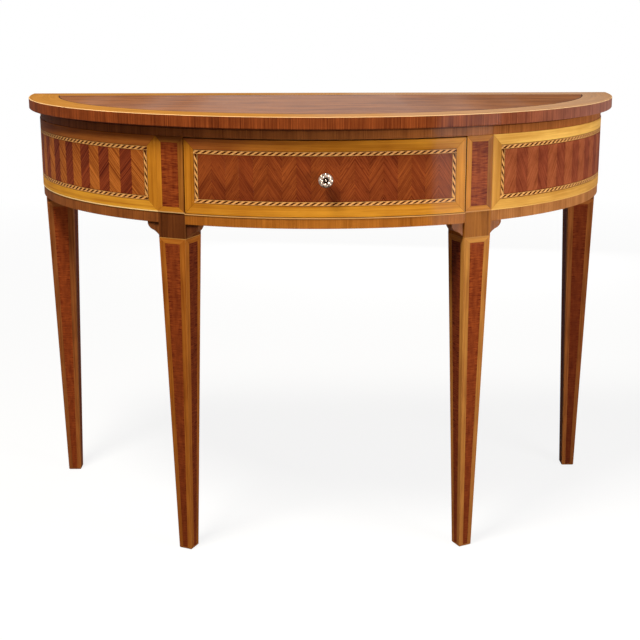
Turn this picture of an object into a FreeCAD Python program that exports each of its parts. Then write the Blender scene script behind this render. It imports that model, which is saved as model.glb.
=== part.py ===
# Demilune table: half-elliptical top on four tapered legs, with an inlaid frieze and one bow-fronted drawer.
# Millimetres, +Z up. The origin is on the floor, below the middle of the top. The straight back faces +Y.
import FreeCAD, Part
import math
import os
from FreeCAD import Vector

# Driving dimensions of the top
table_height = 780.0
top_width = 1140.0
top_depth = 515.0
top_thickness = 20.0
top_overhang = 19.0
top_veneer = 1.0
top_border_width = 56.0
top_line_width = 2.0
top_border_segments = 4

# Driving dimensions of the frieze under the top
apron_height = 164.0
apron_thickness = 22.0
upper_rail_height = 18.0
lower_rail_height = 18.0
front_rail_depth = 95.0
back_rail_thickness = 20.0
panel_veneer = 2.5
band_veneer = 1.5
border_width = 18.0
rope_width = 8.0
slat_count = 18
stile_border_width = 10.0

# Driving dimensions of the legs and their brackets
leg_block = 52.0
leg_block_drop = 25.0
leg_foot = 25.0
front_leg_offset = 258.0
leg_panel_thickness = 1.2
leg_margin_head = 11.5
leg_margin_foot = 8.0
leg_head_strip = 10.0
leg_foot_strip = 4.0
foot_chamfer = 1.5
bracket_reach = 22.5
bracket_drop = 25.0
bracket_lip = 4.0
bracket_swell = 2.0
bracket_thickness = 12.0
bracket_setback = 8.0

# Driving dimensions of the joints in the frame
tenon_thickness = 8.0
tenon_length = 24.0
tenon_shoulder = 22.0
rail_tenon_thickness = 9.0
rail_tenon_width = 28.0
rail_tail_thickness = 11.0
rail_tail_root = 22.0
rail_tail_end = 30.0
rail_joint_length = 22.0
runner_width = 24.0
runner_tenon_thickness = 8.0
runner_tenon_length = 10.0
guide_width = 10.0
guide_height = 20.0
glue_block_size = 22.0
glue_block_length = 60.0
glue_blocks_per_apron = 3

# Driving dimensions of the drawer
drawer_gap = 1.2
drawer_running_gap = 0.3
drawer_side_clearance = 1.0
drawer_top_clearance = 3.0
drawer_back_clearance = 14.0
drawer_front_thickness = 20.0
drawer_end_brick = 16.0
drawer_middle_brick = 60.0
drawer_side_thickness = 10.0
drawer_back_thickness = 10.0
drawer_back_drop = 8.0
drawer_bottom_thickness = 6.0
drawer_bottom_rise = 10.0
drawer_groove_depth = 5.0
tail_count = 3
tail_length = 12.0
tail_root = 18.0
tail_end = 24.0
stop_offset = 120.0
stop_length = 40.0
stop_depth = 18.0
stop_height = 6.0

# Driving dimensions of the knob and the screws
knob_diameter = 24.0
knob_projection = 18.0
knob_petals = 8
knob_sides = 24
knob_notch_sides = 8
knob_petal_round = 2.4
knob_notch_radius = 1.8
knob_head_depth = 9.0
knob_rim_depth = 6.0
knob_base_radius = 6.0
knob_base_thickness = 1.6
knob_neck_radius = 4.0
knob_cup_radius = 4.2
knob_cup_depth = 3.4
knob_boss_radius = 2.0
knob_screw_radius = 2.0
knob_screw_bite = 7.0
knob_screw_head_radius = 4.2
knob_screw_head_height = 2.6
wood_screw_radius = 2.0
wood_screw_head_radius = 4.0
wood_screw_head_height = 2.4
top_screw_bite = 12.0
bottom_screw_bite = 14.0
bottom_screw_spread = 130.0
screw_clearance = 0.05
screw_sides = 8

# Levels and planes that follow from the driving dimensions
rear_y = top_depth / 2
top_underside = table_height - top_thickness
frieze_top = top_underside - upper_rail_height
apron_bottom = top_underside - apron_height
frieze_bottom = apron_bottom + lower_rail_height
block_bottom = apron_bottom - leg_block_drop
back_rail_front = rear_y - back_rail_thickness

# Pairs of half axes of the half ellipses, from the edge of the top inwards
top_curve = (top_width / 2, top_depth)


def inset(curve, distance):
    """Half axes of the curve that lies a distance inside another."""
    return (curve[0] - distance, curve[1] - distance)


face_curve = inset(top_curve, top_overhang)
band_curve = inset(face_curve, panel_veneer - band_veneer)
core_curve = inset(face_curve, panel_veneer)
apron_inner_curve = inset(core_curve, apron_thickness)
drawer_inner_curve = inset(core_curve, drawer_front_thickness)
edge_slack = 4.0


def box(low_x, high_x, low_y, high_y, low_z, high_z):
    """Box between two corners."""
    size = (high_x - low_x, high_y - low_y, high_z - low_z)
    return Part.makeBox(*size, Vector(low_x, low_y, low_z))


def mirrored(shape):
    """The same piece on the other side of the table."""
    return shape.mirror(Vector(0, 0, 0), Vector(1, 0, 0))


def on_curve(curve, turn):
    """Point of a half ellipse. The turn is 0 at the middle of the front and grows to the right."""
    return Vector(curve[0] * math.sin(turn), rear_y - curve[1] * math.cos(turn), 0)


def curve_normal(curve, turn):
    """Unit vector that points out of a half ellipse at a turn."""
    normal = Vector(math.sin(turn) / curve[0], -math.cos(turn) / curve[1], 0)
    return normal.normalize()


def curve_edge(curve, first, last):
    """Elliptical edge between two turns."""
    centre = Vector(0, rear_y, 0)
    right = centre + Vector(curve[0], 0, 0)
    front = centre - Vector(0, curve[1], 0)
    if curve[0] >= curve[1]:
        ellipse = Part.Ellipse(right, centre + Vector(0, curve[1], 0), centre)
        start = -math.pi / 2
    else:
        ellipse = Part.Ellipse(front, right, centre)
        start = 0.0
    return ellipse.toShape(start + first, start + last)


class Cut:
    """Upright plane across the frieze: a point, the way through the thickness, and the way into the panel."""

    def __init__(self, point, across, inward):
        self.point = point
        self.across = across
        self.inward = inward

    def moved(self, distance):
        return Cut(self.point + self.inward * distance, self.across, self.inward)

    def mirrored(self):
        flip = [Vector(-v.x, v.y, v.z) for v in (self.point, self.across, self.inward)]
        return Cut(*flip)

    def turn(self, curve):
        """Turn at which the plane crosses a half ellipse, on the side that the point is on."""
        wide = -self.across.y * curve[0]
        deep = self.across.x * curve[1]
        level = -self.across.y * self.point.x + self.across.x * (self.point.y - rear_y)
        lead = math.atan2(deep, wide)
        swing = math.asin(level / math.hypot(wide, deep))
        turns = [lead + swing, lead + math.pi - swing]
        wrapped = [math.remainder(turn, 2 * math.pi) for turn in turns]
        return min(wrapped, key=lambda turn: (on_curve(curve, turn) - self.point).Length)


def normal_cut(turn):
    """Plane square to the frieze at a turn."""
    across = curve_normal(face_curve, turn)
    return Cut(on_curve(face_curve, turn), across, Vector(-across.y, across.x, 0))


def strip(outer, inner, first, last, low, high):
    """Curved strip of the frieze between two curves, two cuts and two levels."""
    first, last = sorted((first, last), key=lambda cut: cut.turn(outer))
    outer_turns = (first.turn(outer), last.turn(outer))
    inner_turns = (first.turn(inner), last.turn(inner))
    ends = [Part.LineSegment(on_curve(outer, a), on_curve(inner, b)).toShape()
            for a, b in zip(outer_turns, inner_turns)]
    edges = [curve_edge(outer, *outer_turns), ends[1], curve_edge(inner, *inner_turns), ends[0]]
    face = Part.Face(Part.Wire(Part.__sortEdges__(edges)))
    face.translate(Vector(0, 0, low))
    return face.extrude(Vector(0, 0, high - low))


def half_disc(curve, low, high):
    """Everything inside a half ellipse between two levels."""
    arc = curve_edge(curve, -math.pi / 2, math.pi / 2)
    chord = Part.LineSegment(on_curve(curve, -math.pi / 2), on_curve(curve, math.pi / 2)).toShape()
    face = Part.Face(Part.Wire(Part.__sortEdges__([arc, chord])))
    face.translate(Vector(0, 0, low))
    return face.extrude(Vector(0, 0, high - low))


def prism(points, sweep):
    """Solid swept straight from a flat outline."""
    return Part.Face(Part.makePolygon(points + points[:1])).extrude(sweep)


def mitre(cut, corner_z, rise, width, upright):
    """Wedge on one side of the 45 degree line that runs from a panel's corner into the panel."""
    far = width + edge_slack
    spare = (far, -edge_slack) if upright else (-edge_slack, far)
    outline = [(-edge_slack, -edge_slack), (far, far), spare]
    corner = on_curve(face_curve, cut.turn(face_curve))
    depth = cut.across * (panel_veneer + edge_slack)
    points = [corner - depth + cut.inward * along + Vector(0, 0, corner_z + rise * into)
              for along, into in outline]
    return prism(points, depth * 2)


def mitred_frame(first, last, low, high, width):
    """Four strips round a panel, mitred where they meet."""
    pieces = []
    for level, inner_level, rise in ((high, high - width, -1), (low, low + width, 1)):
        rail = strip(face_curve, core_curve, first, last, min(level, inner_level), max(level, inner_level))
        wedges = [mitre(cut, level, rise, width, False) for cut in (first, last)]
        pieces.append(rail.cut(wedges))
    for cut in (first, last):
        post = strip(face_curve, core_curve, cut, cut.moved(width), low, high)
        wedges = [mitre(cut, level, rise, width, True) for level, rise in ((high, -1), (low, 1))]
        pieces.append(post.cut(wedges))
    return pieces


def equal_turns(first, last, count):
    """Turns that share the arc of the frieze between two turns into equal lengths."""
    steps = 50 * count
    turns = [first + (last - first) * step / steps for step in range(steps + 1)]
    lengths = [0.0]
    for before, after in zip(turns, turns[1:]):
        lengths.append(lengths[-1] + (on_curve(face_curve, after) - on_curve(face_curve, before)).Length)
    shared = [first]
    for share in range(1, count):
        goal = lengths[-1] * share / count
        step = next(index for index, length in enumerate(lengths) if length >= goal)
        blend = (goal - lengths[step - 1]) / (lengths[step] - lengths[step - 1])
        shared.append(turns[step - 1] + (turns[step] - turns[step - 1]) * blend)
    return shared + [last]


def slats(first, last, low, high):
    """Upright slats of equal width that fill a field, light and dark ones by turns."""
    turns = equal_turns(first.turn(face_curve), last.turn(face_curve), slat_count)
    cuts = [first] + [normal_cut(turn) for turn in turns[1:-1]] + [last]
    pieces = [strip(face_curve, core_curve, a, b, low, high) for a, b in zip(cuts, cuts[1:])]
    return pieces[0::2], pieces[1::2]


def inlaid_panel(first, last, low, high):
    """Border, rope banding, light slats and dark slats of one panel of the frieze."""
    border = mitred_frame(first, last, low, high, border_width)
    rope_ends = (first.moved(border_width), last.moved(border_width))
    rope_levels = (low + border_width, high - border_width)
    rope = mitred_frame(*rope_ends, *rope_levels, rope_width)
    field_ends = [cut.moved(rope_width) for cut in rope_ends]
    light, dark = slats(*field_ends, rope_levels[0] + rope_width, rope_levels[1] - rope_width)
    return border, rope, light, dark


# Place of the right front leg: its block's outer face is the chord of the band across the block
leg_turn = math.asin(front_leg_offset / band_curve[0])
leg_normal = curve_normal(band_curve, leg_turn)
leg_along = Vector(-leg_normal.y, leg_normal.x, 0)
chord_ends = [Cut(on_curve(band_curve, leg_turn) + leg_along * shift, leg_normal, leg_along)
              for shift in (-leg_block / 2, leg_block / 2)]
chord_points = [on_curve(band_curve, cut.turn(band_curve)) for cut in chord_ends]
leg_face = (chord_points[0] + chord_points[1]) * 0.5
leg_axis = leg_face - leg_normal * (leg_block / 2)
leg_angle = math.degrees(math.atan2(leg_along.y, leg_along.x))

# Upright planes that end the panels: the two sides of the leg block, the rear plane and the rear leg's front
block_inner = Cut(leg_face - leg_along * (leg_block / 2), leg_normal, leg_along * -1)
block_outer = Cut(leg_face + leg_along * (leg_block / 2), leg_normal, leg_along)
rear_plane = Cut(Vector(face_curve[0], rear_y, 0), Vector(1, 0, 0), Vector(0, -1, 0))
rear_leg_front = Cut(Vector(core_curve[0], rear_y - leg_block, 0), Vector(1, 0, 0), Vector(0, -1, 0))
drawer_end = block_inner.moved(drawer_gap)

# Rear leg: its outer face lies just inside the frieze's core where the apron meets it
rear_leg_outer = on_curve(core_curve, rear_leg_front.turn(core_curve)).x
rear_leg_inner = rear_leg_outer - leg_block

# Planes of the drawer box and of the rails that carry it
block_rear_corner = block_inner.point - leg_normal * leg_block
drawer_half_width = block_rear_corner.x - drawer_side_clearance
drawer_inner_half = drawer_half_width - drawer_side_thickness
drawer_low = frieze_bottom + drawer_running_gap
drawer_side_top = frieze_top - drawer_top_clearance
drawer_floor_low = drawer_low + drawer_bottom_rise
drawer_floor_high = drawer_floor_low + drawer_bottom_thickness
drawer_back_rear = back_rail_front - drawer_back_clearance
drawer_back_front = drawer_back_rear - drawer_back_thickness
front_rail_back = rear_y - core_curve[1] + front_rail_depth
runner_outer = block_rear_corner.x
runner_inner = runner_outer - runner_width
guide_front = block_outer.point.y - leg_normal.y * leg_block
knob_level = (frieze_top + frieze_bottom) / 2


def to_front_leg(shape):
    """Puts a piece made on the Z axis, with its face to -Y, at the right front leg."""
    shape.rotate(Vector(0, 0, 0), Vector(0, 0, 1), leg_angle)
    shape.translate(leg_axis)
    return shape


def to_rear_leg(shape):
    """Puts a piece made on the Z axis at the right rear leg."""
    shape.translate(Vector(rear_leg_outer - leg_block / 2, rear_y - leg_block / 2, 0))
    return shape


def leg_half(level):
    """Half the width of a leg's tapered part at a level."""
    return (leg_foot + (leg_block - leg_foot) * level / block_bottom) / 2


def square_at(half, level):
    """Square outline round the Z axis."""
    corners = [(-half, -half), (half, -half), (half, half), (-half, half), (-half, -half)]
    return [Vector(x, y, level) for x, y in corners]


def stacked(outlines):
    """Flat-sided solid through closed outlines of as many corners, one above the other."""
    rings = [outlines[0], outlines[-1]]
    for lower, upper in zip(outlines, outlines[1:]):
        for side in range(len(lower) - 1):
            rings.append([lower[side], lower[side + 1], upper[side + 1], upper[side], lower[side]])
    return Part.Solid(Part.Shell([Part.Face(Part.makePolygon(ring)) for ring in rings]))


def leg_panels():
    """The four tapered panels let into a leg's faces."""
    head = block_bottom - leg_head_strip
    corners = []
    for level, margin in ((leg_foot_strip, leg_margin_foot), (head, leg_margin_head)):
        half = leg_half(level)
        corners.append((half - margin, half, level))
    (foot_x, foot_y, foot_z), (head_x, head_y, head_z) = corners
    outline = [Vector(-foot_x, -foot_y, foot_z), Vector(foot_x, -foot_y, foot_z),
               Vector(head_x, -head_y, head_z), Vector(-head_x, -head_y, head_z)]
    slope = Vector(0, foot_y - head_y, head_z - foot_z).normalize()
    inward = Vector(0, slope.z, -slope.y)
    panel = prism(outline, inward * leg_panel_thickness)
    return [panel.copy().rotate(Vector(0, 0, 0), Vector(0, 0, 1), 90 * side) for side in range(4)]


def leg_blank(panels):
    """Square block and taper of a leg, with the beds of its panels."""
    half = leg_block / 2
    block = box(-half, half, -half, half, block_bottom, top_underside)
    taper = stacked([square_at(leg_half(0) - foot_chamfer, 0),
                     square_at(leg_half(foot_chamfer), foot_chamfer),
                     square_at(half, block_bottom)])
    return block.fuse(taper).removeSplitter().cut(panels)


def front_leg(panels, tenon, rail_tenon, rail_tail):
    """Right front leg: its head is shaped to the frieze and mortised for the apron and the rails."""
    leg = to_front_leg(leg_blank(panels))
    reach = leg_block * 2
    head = box(-reach, reach, -reach, reach, frieze_bottom, table_height)
    head.translate(leg_axis)
    curved = half_disc(core_curve, frieze_bottom, table_height)
    return leg.cut(head.cut(curved)).cut([tenon, rail_tenon, rail_tail]).removeSplitter()


def rear_leg(panels, tenon, back_tenon):
    """Right rear leg: above the apron's lower edge its outer side fills out to the curve."""
    leg = to_rear_leg(leg_blank(panels))
    swell = box(rear_leg_outer, core_curve[0], rear_y - leg_block, rear_y, apron_bottom, top_underside)
    swell = swell.common(half_disc(core_curve, apron_bottom, top_underside))
    return leg.fuse(swell).removeSplitter().cut([tenon, back_tenon])


def apron_tenons():
    """Tenons of the right apron: one into the front leg, one into the rear leg."""
    low = apron_bottom + tenon_shoulder
    high = top_underside - tenon_shoulder
    depth = panel_veneer + (apron_thickness - tenon_thickness) / 2
    into_front = box(-tenon_length, 0, depth, depth + tenon_thickness, low, high)
    into_front.rotate(Vector(0, 0, 0), Vector(0, 0, 1), leg_angle)
    into_front.translate(block_outer.point)
    middle = inset(core_curve, apron_thickness / 2)
    rear_x = on_curve(middle, rear_leg_front.turn(middle)).x
    half = tenon_thickness / 2
    rear_start = rear_y - leg_block
    into_rear = box(rear_x - half, rear_x + half, rear_start, rear_start + tenon_length, low, high)
    return into_front, into_rear


def apron_core(tenons):
    """Curved core of the right apron, from the front leg to the rear leg, with its tenons."""
    ring = strip(core_curve, apron_inner_curve, block_outer, rear_leg_front, apron_bottom, top_underside)
    return ring.fuse(list(tenons)).removeSplitter()


def rail_joint(root, end, low, high):
    """Tongue on the right end of a front rail, as wide at its root and its end as the joint asks."""
    centre = leg_block / 2
    points = [Vector(0, centre - root / 2, low), Vector(rail_joint_length, centre - end / 2, low),
              Vector(rail_joint_length, centre + end / 2, low), Vector(0, centre + root / 2, low)]
    tongue = prism(points, Vector(0, 0, high - low))
    tongue.rotate(Vector(0, 0, 0), Vector(0, 0, 1), leg_angle)
    tongue.translate(block_inner.point)
    return tongue


def front_rail(low, high, tongue):
    """Bowed board between the front legs with a straight back edge."""
    rail = half_disc(core_curve, low, high)
    reach = top_width
    rail = rail.common(box(-reach, reach, rear_y - top_depth, front_rail_back, low, high))
    beyond = [block_inner.point - leg_normal * reach, block_inner.point + leg_normal * reach,
              block_inner.point + leg_normal * reach + leg_along * reach,
              block_inner.point - leg_normal * reach + leg_along * reach]
    wedge = prism([Vector(p.x, p.y, low) for p in beyond], Vector(0, 0, high - low))
    rail = rail.cut([wedge, mirrored(wedge)])
    return rail.fuse([tongue, mirrored(tongue)]).removeSplitter()


def back_rail_tenon():
    """Tenon of the back rail into the right rear leg."""
    middle = rear_y - back_rail_thickness / 2
    half = tenon_thickness / 2
    low = apron_bottom + tenon_shoulder
    high = top_underside - tenon_shoulder
    return box(rear_leg_inner, rear_leg_inner + tenon_length, middle - half, middle + half, low, high)


def back_rail(tenon):
    """Straight rail between the rear legs."""
    board = box(-rear_leg_inner, rear_leg_inner, back_rail_front, rear_y, apron_bottom, top_underside)
    return board.fuse([tenon, mirrored(tenon)]).removeSplitter()


def runner(low, high):
    """Right-hand bar from a front rail to the back rail, with a stub tenon at each end."""
    bar = box(runner_inner, runner_outer, front_rail_back, back_rail_front, low, high)
    middle = (low + high) / 2
    half = runner_tenon_thickness / 2
    tongue = box(runner_inner, runner_outer, front_rail_back - runner_tenon_length,
                 back_rail_front + runner_tenon_length, middle - half, middle + half)
    return bar.fuse(tongue).removeSplitter()


def guide():
    """Strip beside the right-hand runner, standing above it, that keeps the drawer side straight."""
    return box(runner_outer, runner_outer + guide_width, guide_front, back_rail_front,
               apron_bottom, frieze_bottom + guide_height)


def drawer_stops():
    """Two small blocks on the lower rail that the closed drawer front meets."""
    seat = inset(drawer_inner_curve, drawer_running_gap)
    pieces = []
    for side in (-1, 1):
        low_x = side * stop_offset - stop_length / 2
        front = on_curve(seat, math.asin(stop_offset / seat[0])).y
        block = box(low_x, low_x + stop_length, front - stop_length, front + stop_depth,
                    frieze_bottom, frieze_bottom + stop_height)
        pieces.append(block.common(half_disc(seat, frieze_bottom, frieze_bottom + stop_height)))
    return pieces


def bracket(side_cut, direction):
    """Ogee bracket in the corner between a side of the right front leg and the apron above it."""
    lip = Vector(bracket_reach, 0, -bracket_lip)
    toe = Vector(0, 0, -bracket_drop)
    middle = (lip + toe) * 0.5
    chord = (toe - lip).normalize()
    swell = Vector(-chord.z, 0, chord.x) * bracket_swell
    upper = Part.Arc(lip, (lip + middle) * 0.5 + swell, middle)
    lower = Part.Arc(middle, (middle + toe) * 0.5 - swell, toe)
    corner = Vector(0, 0, 0)
    tip = Vector(bracket_reach, 0, 0)
    edges = [Part.LineSegment(corner, tip).toShape(), Part.LineSegment(tip, lip).toShape(),
             upper.toShape(), lower.toShape(), Part.LineSegment(toe, corner).toShape()]
    solid = Part.Face(Part.Wire(edges)).extrude(Vector(0, bracket_thickness, 0))
    if direction < 0:
        solid = mirrored(solid)
    solid.translate(Vector(0, bracket_setback, apron_bottom))
    solid.rotate(Vector(0, 0, 0), Vector(0, 0, 1), leg_angle)
    solid.translate(side_cut.point)
    return solid


def glue_blocks():
    """Blocks in the corner under the top, along the aprons and the back rail."""
    low = top_underside - glue_block_size
    inside = half_disc(apron_inner_curve, low, top_underside)
    first = block_outer.turn(apron_inner_curve)
    last = rear_leg_front.turn(apron_inner_curve)
    half = glue_block_length / 2
    plain = box(-half, half, -edge_slack, glue_block_size, low, top_underside)
    pieces = []
    for place in range(glue_blocks_per_apron):
        turn = first + (last - first) * (place + 1) / (glue_blocks_per_apron + 1)
        normal = curve_normal(apron_inner_curve, turn)
        block = plain.copy()
        block.rotate(Vector(0, 0, 0), Vector(0, 0, 1), math.degrees(math.atan2(normal.x, -normal.y)))
        block.translate(on_curve(apron_inner_curve, turn))
        block = block.common(inside)
        pieces += [block, mirrored(block)]
    beside = (runner_outer + rear_leg_inner) / 2
    for middle in (-beside, 0, beside):
        pieces.append(box(middle - half, middle + half, back_rail_front - glue_block_size, back_rail_front,
                          low, top_underside))
    return pieces


def turned(profile, spare=0.0, sides=screw_sides):
    """Small turned piece up the Z axis from radii and heights, with flat sides in place of a round."""
    corners = [2 * math.pi * side / sides for side in range(sides + 1)]
    outlines = []
    for radius, height in profile:
        reach = radius + spare
        outlines.append([Vector(reach * math.cos(a), reach * math.sin(a), height) for a in corners])
    return stacked(outlines)


def wood_screws(places, level, length, spare=0.0):
    """Wood screws at a level, one at each place."""
    pieces = []
    for x, y in places:
        piece = turned([(wood_screw_head_radius, 0), (wood_screw_radius, wood_screw_head_height),
                        (wood_screw_radius, length + spare)], spare)
        piece.translate(Vector(x, y, level))
        pieces.append(piece)
    return pieces


def tail(front, rear, middle_z):
    """Dovetail seen from the drawer's side: widest at its far end, across the whole side."""
    points = [Vector(drawer_inner_half, front, middle_z - tail_end / 2),
              Vector(drawer_inner_half, front, middle_z + tail_end / 2),
              Vector(drawer_inner_half, rear, middle_z + tail_root / 2),
              Vector(drawer_inner_half, rear, middle_z - tail_root / 2)]
    return prism(points, Vector(drawer_side_thickness, 0, 0))


def tail_levels(low, high):
    """Heights of the middles of the dovetails between two levels."""
    pitch = (high - low) / tail_count
    return [low + pitch * (index + 0.5) for index in range(tail_count)]


def front_tails():
    """Tails of the right drawer side that run into the drawer front."""
    mouth = inset(drawer_inner_curve, -tail_length)
    shoulder = on_curve(drawer_inner_curve, math.asin(drawer_inner_half / drawer_inner_curve[0])).y
    end = on_curve(mouth, math.asin(drawer_inner_half / mouth[0])).y
    room = half_disc(mouth, drawer_low, frieze_top)
    levels = tail_levels(drawer_floor_high, drawer_side_top)
    return [tail(end, shoulder + drawer_side_thickness, level).common(room) for level in levels]


def back_tails(low, high):
    """Tails of the right drawer side that run through the drawer back."""
    return [tail(drawer_back_rear, drawer_back_front, level) for level in tail_levels(low, high)]


def drawer_floor():
    """Drawer bottom, held in grooves in the front and the sides and running under the back."""
    half = drawer_inner_half + drawer_groove_depth
    outline = half_disc(inset(drawer_inner_curve, -drawer_groove_depth), drawer_floor_low, drawer_floor_high)
    return outline.common(box(-half, half, rear_y - top_depth, drawer_back_rear,
                              drawer_floor_low, drawer_floor_high))


def drawer_side(tails, back, floor):
    """Right side of the drawer, shaped at its front end to the bowed drawer front."""
    board = box(drawer_inner_half, drawer_half_width, rear_y - top_depth, drawer_back_rear,
                drawer_low, drawer_side_top)
    board = board.common(half_disc(drawer_inner_curve, drawer_low, drawer_side_top))
    return board.fuse(tails).removeSplitter().cut([back, floor])


def drawer_back(tails):
    """Back of the drawer, between the floor and a little below the sides' top edges."""
    board = box(-drawer_half_width, drawer_half_width, drawer_back_front, drawer_back_rear,
                drawer_floor_high, drawer_side_top - drawer_back_drop)
    return board.cut(tails + [mirrored(piece) for piece in tails])


def drawer_core(tails, floor, hole):
    """Bowed drawer front of glued bricks, with its tails' sockets, the floor's groove and the knob's hole."""
    low = frieze_bottom + drawer_gap
    high = frieze_top - drawer_gap
    end_turn = math.asin((drawer_inner_half - drawer_end_brick) / core_curve[0])
    middle_turn = math.asin(drawer_middle_brick / 2 / core_curve[0])
    joints = [normal_cut(turn) for turn in (-end_turn, -middle_turn, middle_turn, end_turn)]
    cuts = [drawer_end.mirrored()] + joints + [drawer_end]
    bricks = [strip(core_curve, drawer_inner_curve, a, b, low, high) for a, b in zip(cuts, cuts[1:])]
    gaps = tails + [mirrored(piece) for piece in tails] + [floor, hole, knob_screw()]
    cut_bricks = [brick.cut(gaps) for brick in bricks]
    return cut_bricks[0].fuse(cut_bricks[1:])


def facing_front(shape):
    """Turns a piece made up the Z axis to point out of the middle of the drawer front."""
    shape.rotate(Vector(0, 0, 0), Vector(1, 0, 0), 90)
    shape.translate(Vector(0, rear_y - face_curve[1], knob_level))
    return shape


def knob_screw(spare=0.0):
    """Machine screw from inside the drawer front into the knob, or with spare room its hole."""
    seat = -panel_veneer - drawer_front_thickness
    end = knob_screw_bite + spare
    shank = turned([(knob_screw_radius, seat), (knob_screw_radius, end)], spare)
    head = turned([(knob_screw_head_radius, seat - knob_screw_head_height), (knob_screw_head_radius, seat)])
    return facing_front(shank if spare else shank.fuse(head).removeSplitter())


def knob():
    """Flower-shaped knob: a foot, a neck, and a ring of petals round a cup with a boss in it."""
    radius = knob_diameter / 2
    crown = knob_projection
    cup_floor = crown - knob_cup_depth
    outside = [(knob_base_radius, 0), (knob_base_radius, knob_base_thickness),
               (knob_neck_radius, knob_base_thickness * 2), (knob_neck_radius, crown - knob_head_depth),
               (radius, crown - knob_rim_depth), (radius, crown - knob_petal_round),
               (radius - knob_petal_round, crown)]
    cup = [(knob_cup_radius, cup_floor), (knob_cup_radius, crown - knob_petal_round),
           (knob_cup_radius + knob_petal_round + edge_slack, crown + edge_slack)]
    boss = [(knob_boss_radius, cup_floor), (knob_boss_radius / 2, cup_floor + knob_boss_radius)]
    body = turned(outside, sides=knob_sides).cut(turned(cup, sides=knob_sides).cut(turned(boss)))
    notch = turned([(knob_notch_radius, crown - knob_head_depth), (knob_notch_radius, crown + edge_slack)],
                   sides=knob_notch_sides)
    notches = []
    for index in range(knob_petals):
        angle = 2 * math.pi * index / knob_petals
        place = Vector(radius * math.cos(angle), radius * math.sin(angle), 0)
        notches.append(notch.translated(place))
    return facing_front(body.cut(notches)).cut(knob_screw(screw_clearance))


def top_pieces():
    """Core of the top, its edge banding, and the border, line and field of its veneer."""
    inner = inset(top_curve, band_veneer)
    veneer_low = table_height - top_veneer
    core = half_disc(inner, top_underside, veneer_low)
    left_end = rear_plane.mirrored()
    edge = strip(top_curve, inner, left_end, rear_plane, top_underside, veneer_low)
    line_curve = inset(top_curve, top_border_width)
    field_curve = inset(line_curve, top_line_width)
    line_rear = rear_y - top_border_width
    field_rear = line_rear - top_line_width
    reach = top_width

    def ahead_of(limit):
        return box(-reach, reach, rear_y - top_depth, limit, veneer_low, table_height)

    whole = half_disc(top_curve, veneer_low, table_height)
    line_sheet = half_disc(line_curve, veneer_low, table_height).common(ahead_of(line_rear))
    field = half_disc(field_curve, veneer_low, table_height).common(ahead_of(field_rear))
    corner_x = line_curve[0] * math.sqrt(1 - (top_border_width / line_curve[1]) ** 2)
    outer_corner = Vector(top_curve[0], rear_y, veneer_low)
    inner_corner = Vector(corner_x, line_rear, veneer_low)
    overrun = (outer_corner - inner_corner) * edge_slack
    mitre_line = [outer_corner + overrun, inner_corner - overrun]
    mirrored_line = [Vector(-point.x, point.y, point.z) for point in reversed(mitre_line)]
    rear_zone = prism(mitre_line + mirrored_line, Vector(0, 0, top_veneer))
    ring = whole.cut(line_sheet)
    rear_piece = ring.common(rear_zone)
    curved = ring.cut(rear_zone)
    border = [rear_piece]
    turns = [math.pi * (index / top_border_segments - 0.5) for index in range(top_border_segments + 1)]
    for first, last in zip(turns, turns[1:]):
        middle = (first + last) / 2
        far = [on_curve((reach, reach), turn) + Vector(0, 0, veneer_low) for turn in (first, middle, last)]
        sector = prism([Vector(0, rear_y, veneer_low)] + far, Vector(0, 0, top_veneer))
        border.append(curved.common(sector))
    return core, edge, border, line_sheet.cut(field), field


def solids(shapes):
    """One compound of every solid in a list of shapes."""
    return Part.makeCompound([solid for shape in shapes for solid in shape.Solids])


def save(name, *shapes):
    """Writes one node."""
    group = solids(shapes)
    shape = group.Solids[0] if len(group.Solids) == 1 else group
    shape.exportStep(os.path.join("parts", name + ".step"))


def save_pair(name, *shapes):
    """Writes a right-hand node and its mirror image on the left."""
    save("right_" + name, *shapes)
    save("left_" + name, *[mirrored(shape) for shape in shapes])


def build_legs():
    """Legs, their panels, the stiles on the front blocks and the brackets, with the joints they share."""
    tenons = apron_tenons()
    rail_tenon_low = apron_bottom + (lower_rail_height - rail_tenon_thickness) / 2
    rail_tenon = rail_joint(rail_tenon_width, rail_tenon_width, rail_tenon_low,
                            rail_tenon_low + rail_tenon_thickness)
    rail_tail = rail_joint(rail_tail_root, rail_tail_end, top_underside - rail_tail_thickness, top_underside)
    back_tenon = back_rail_tenon()
    panels = leg_panels()
    save_pair("front_leg", front_leg(panels, tenons[0], rail_tenon, rail_tail))
    save_pair("rear_leg", rear_leg(panels, tenons[1], back_tenon))
    save_pair("front_leg_panels", *[to_front_leg(panel.copy()) for panel in panels])
    save_pair("rear_leg_panels", *[to_rear_leg(panel.copy()) for panel in panels])
    stile_ends = (Cut(block_inner.point, leg_normal, leg_along),
                  Cut(block_outer.point, leg_normal, leg_along * -1))
    save_pair("stile_border", *mitred_frame(*stile_ends, frieze_bottom, frieze_top, stile_border_width))
    inset_ends = [cut.moved(stile_border_width) for cut in stile_ends]
    save_pair("stile_panel", strip(face_curve, core_curve, *inset_ends, frieze_bottom + stile_border_width,
                                   frieze_top - stile_border_width))
    brackets = [bracket(block_outer, 1), bracket(block_inner, -1)]
    save("leg_brackets", *brackets, *[mirrored(piece) for piece in brackets])
    return tenons, rail_tenon, rail_tail, back_tenon


def build_aprons(tenons):
    """Side aprons with their inlaid panels."""
    save_pair("apron_core", apron_core(tenons))
    border, rope, light, dark = inlaid_panel(block_outer, rear_plane, frieze_bottom, frieze_top)
    save_pair("apron_border", *border)
    save_pair("apron_rope", *rope)
    save_pair("apron_light_slats", *light)
    save_pair("apron_dark_slats", *dark)


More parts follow.
